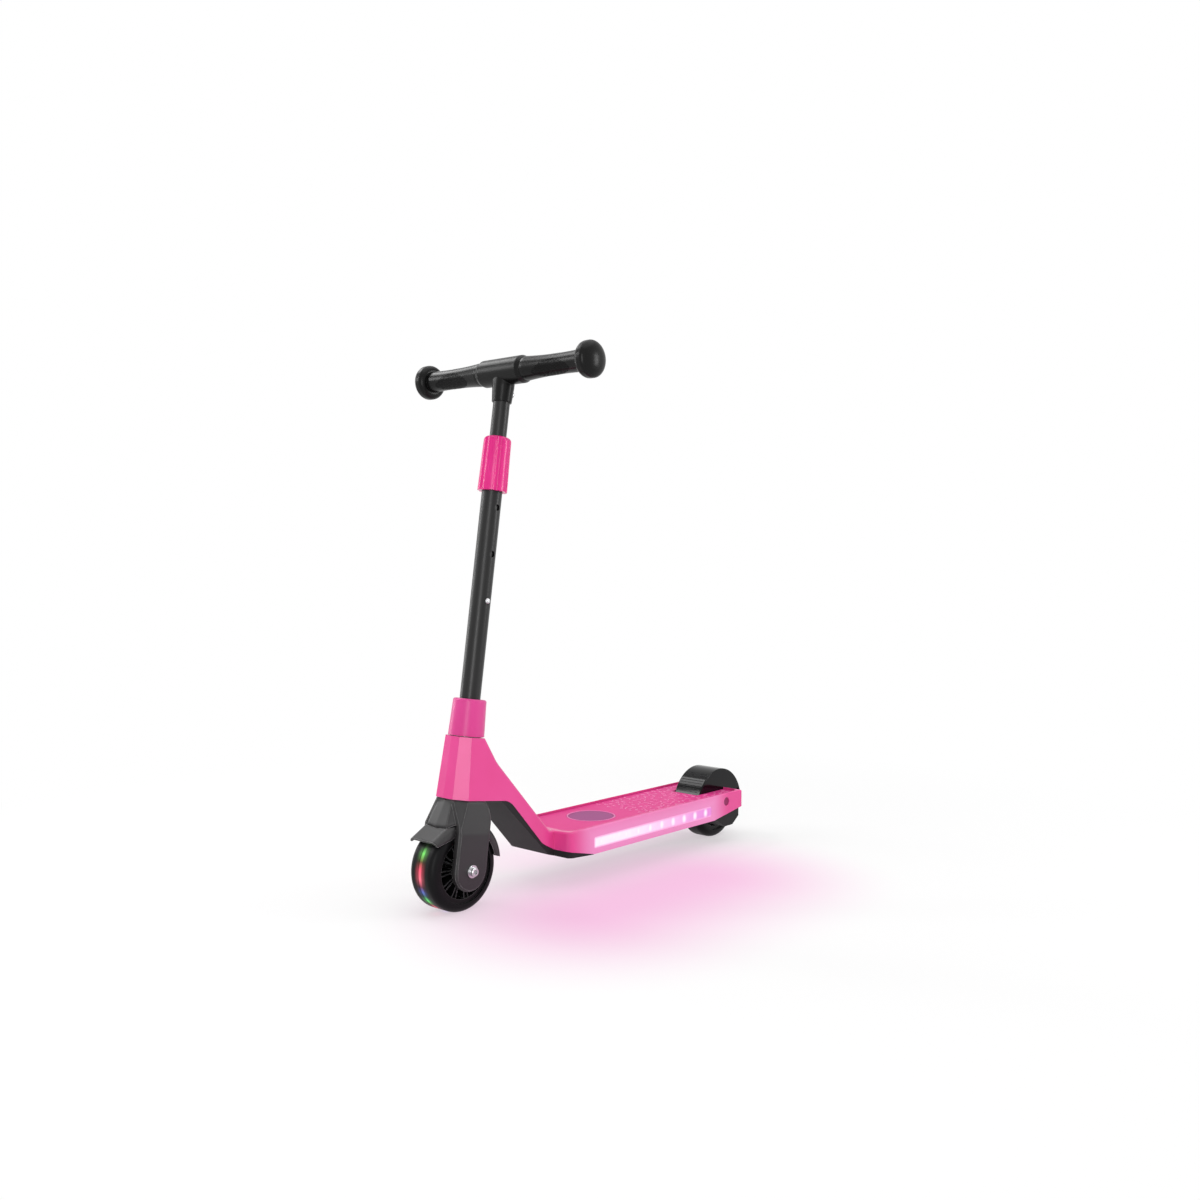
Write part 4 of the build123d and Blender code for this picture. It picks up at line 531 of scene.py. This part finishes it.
for side, way in (("left_grip", 1), ("right_grip", -1)):
    low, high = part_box(side)
    axis = ((low[0] + high[0]) / 2, (low[2] + high[2]) / 2)
    surface = BVHTree.FromObject(nodes[side], bpy.context.evaluated_depsgraph_get())
    verts, faces = [], []
    for centre in PANEL_ANGLES:
        for row in range(2 * rows + 1):
            along = -PANEL_HALF + row * KNURL_PITCH / 2
            limit = PANEL_SPREAD * (1 - (along / PANEL_HALF) ** 2) - step / GRIP_RADIUS
            for column in range(-columns, columns + 1):
                turn = (column + row % 2 / 2) * KNURL_PITCH / GRIP_RADIUS
                if abs(turn) > limit:
                    continue
                y, angle, swing = way * PANEL_MIDDLE + along, centre + turn, step / GRIP_RADIUS
                start = len(verts)
                verts.append(skin(surface, axis, y - step, angle, -KNURL_SINK))
                verts.append(skin(surface, axis, y, angle - swing, -KNURL_SINK))
                verts.append(skin(surface, axis, y + step, angle, -KNURL_SINK))
                verts.append(skin(surface, axis, y, angle + swing, -KNURL_SINK))
                verts.append(skin(surface, axis, y, angle, KNURL_RISE))
                for edge in range(4):
                    faces.append((start + edge, start + (edge + 1) % 4, start + 4))
                faces.append((start + 3, start + 2, start + 1, start))
    relief(side + "_knurl", verts, faces, knurl_look, "handlebar", False)


# Floor: white, with its shadow, and with the strips' pink light painted into it in two pools

FLOOR_HALF = 8
FLOOR_NEAR, FLOOR_FAR = 0.45, 1.2   # the floor's own light grows between these distances
FLOOR_GLOW = 0.5                    # its share near the object
POOL_GLOW = 0.8                     # its share in the pools
POOL_LIGHT_TINT = (0.95, 0.57, 0.8, 1)
POOL_HALF = 0.12
POOLS = ((0.06, 0.15, 0.3, 1.0), (-0.1, -0.1, 0.2, 0.4))    # x, y, reach, weight
WHITE, BLACK = (1, 1, 1, 1), (0, 0, 0, 1)
corners = [(x * FLOOR_HALF, y * FLOOR_HALF, 0) for x, y in ((-1, -1), (1, -1), (1, 1), (-1, 1))]
floor_mesh = bpy.data.meshes.new("floor")
floor_mesh.from_pydata(corners, [], [(0, 1, 2, 3)])
floor = bpy.data.objects.new("floor", floor_mesh)
scene.collection.objects.link(floor)
ground = Look("floor")
place = ground.axes()
shares = []
for x, y, reach, weight in POOLS:
    past = ground.math("SUBTRACT", ground.offset(place["X"], x), POOL_HALF)
    past = ground.math("MAXIMUM", past, 0.0)
    away = ground.length(past, ground.math("SUBTRACT", place["Y"], y))
    shares.append(ground.span(away, 0.0, reach, weight, 0.0))
pools = ground.math("MAXIMUM", *shares)
# Painted light: the strips' pink light, tinting the floor's colour and, in the pools, its own light.
pool_light = ground.mix(pools, WHITE, POOL_LIGHT_TINT)
ground.set(Base_Color=ground.mix(0.06, pool_light, BLACK), Roughness=0.8)
reach = ground.length(place["X"], place["Y"])
share = ground.span(reach, FLOOR_NEAR, FLOOR_FAR, FLOOR_GLOW, 1.0)
lit = ground.span(pools, 0.0, 1.0, FLOOR_GLOW, POOL_GLOW, smooth=False)
share = ground.math("MULTIPLY", ground.math("MAXIMUM", share, lit), ground.seen())
glow = ground.node("ShaderNodeEmission")
ground.put(glow.inputs["Color"], pool_light)
blend = ground.node("ShaderNodeMixShader")
ground.put(blend.inputs[0], share)
ground.put(blend.inputs[1], ground.surface.outputs[0])
ground.put(blend.inputs[2], glow.outputs[0])
ground.put(ground.tree.nodes["Material Output"].inputs["Surface"], blend.outputs[0])
floor_mesh.materials.append(ground.made)


# Backdrop: white where it is seen, and less as light on the object

WORLD_LIGHT = 0.36
world = bpy.data.worlds.new("studio")
scene.world = world
world.use_nodes = True
sky = world.node_tree
sky_path = sky.nodes.new("ShaderNodeLightPath")
seen = sky_path.outputs["Is Camera Ray"]
for other in ("Is Glossy Ray", "Is Transmission Ray"):
    most = sky.nodes.new("ShaderNodeMath")
    most.operation = "MAXIMUM"
    sky.links.new(seen, most.inputs[0])
    sky.links.new(sky_path.outputs[other], most.inputs[1])
    seen = most.outputs[0]
strength = sky.nodes.new("ShaderNodeMath")
strength.operation = "MULTIPLY_ADD"
sky.links.new(seen, strength.inputs[0])
strength.inputs[1].default_value = 1 - WORLD_LIGHT
strength.inputs[2].default_value = WORLD_LIGHT
sky.nodes["Background"].inputs["Color"].default_value = WHITE
sky.links.new(strength.outputs[0], sky.nodes["Background"].inputs["Strength"])


# Lamps: one wide overhead light, and soft boxes set where faces mirror them to the camera

SUN_SPOT, SUN_STRENGTH, SUN_ANGLE = (-0.3, 0.5, 3), 1.2, math.radians(70)
STEM_TOP = (0.18, 0, 0.72)
LAMPS = (   # name, place, target, width and height, power
    ("camera_soft", (2.06, 1.56, 0.6), (0.28, 0, 0.3), (0.6, 1.7), 19),
    ("front_soft", (0.86, -2.35, 0.7), (0.28, 0, 0.25), (0.3, 1.6), 12),
    ("side_soft", (-1.3, 1.85, 0.9), (0.2, 0, 0.2), (0.4, 0.9), 11),
    ("bar_soft", (0.3, -1.6, 2.2), STEM_TOP, (1.0, 0.45), 9),
    ("grip_soft", (1.6, -1.65, 1.45), STEM_TOP, (0.3, 0.8), 9),
)


def aim(light, spot, target):
    """Put a lamp at a spot and turn it to a target."""
    holder = bpy.data.objects.new(light.name, light)
    scene.collection.objects.link(holder)
    holder.location = spot
    holder.rotation_mode = "QUATERNION"
    holder.rotation_quaternion = (Vector(target) - Vector(spot)).to_track_quat("-Z", "Y")


overhead = bpy.data.lights.new("overhead", "SUN")
overhead.energy = SUN_STRENGTH
overhead.angle = SUN_ANGLE
aim(overhead, SUN_SPOT, (0, 0, 0))
for name, spot, target, size, power in LAMPS:
    light = bpy.data.lights.new(name, "AREA")
    light.shape = "RECTANGLE"
    light.size, light.size_y = size
    light.energy = power
    aim(light, spot, target)

scene.view_settings.view_transform = "Standard"
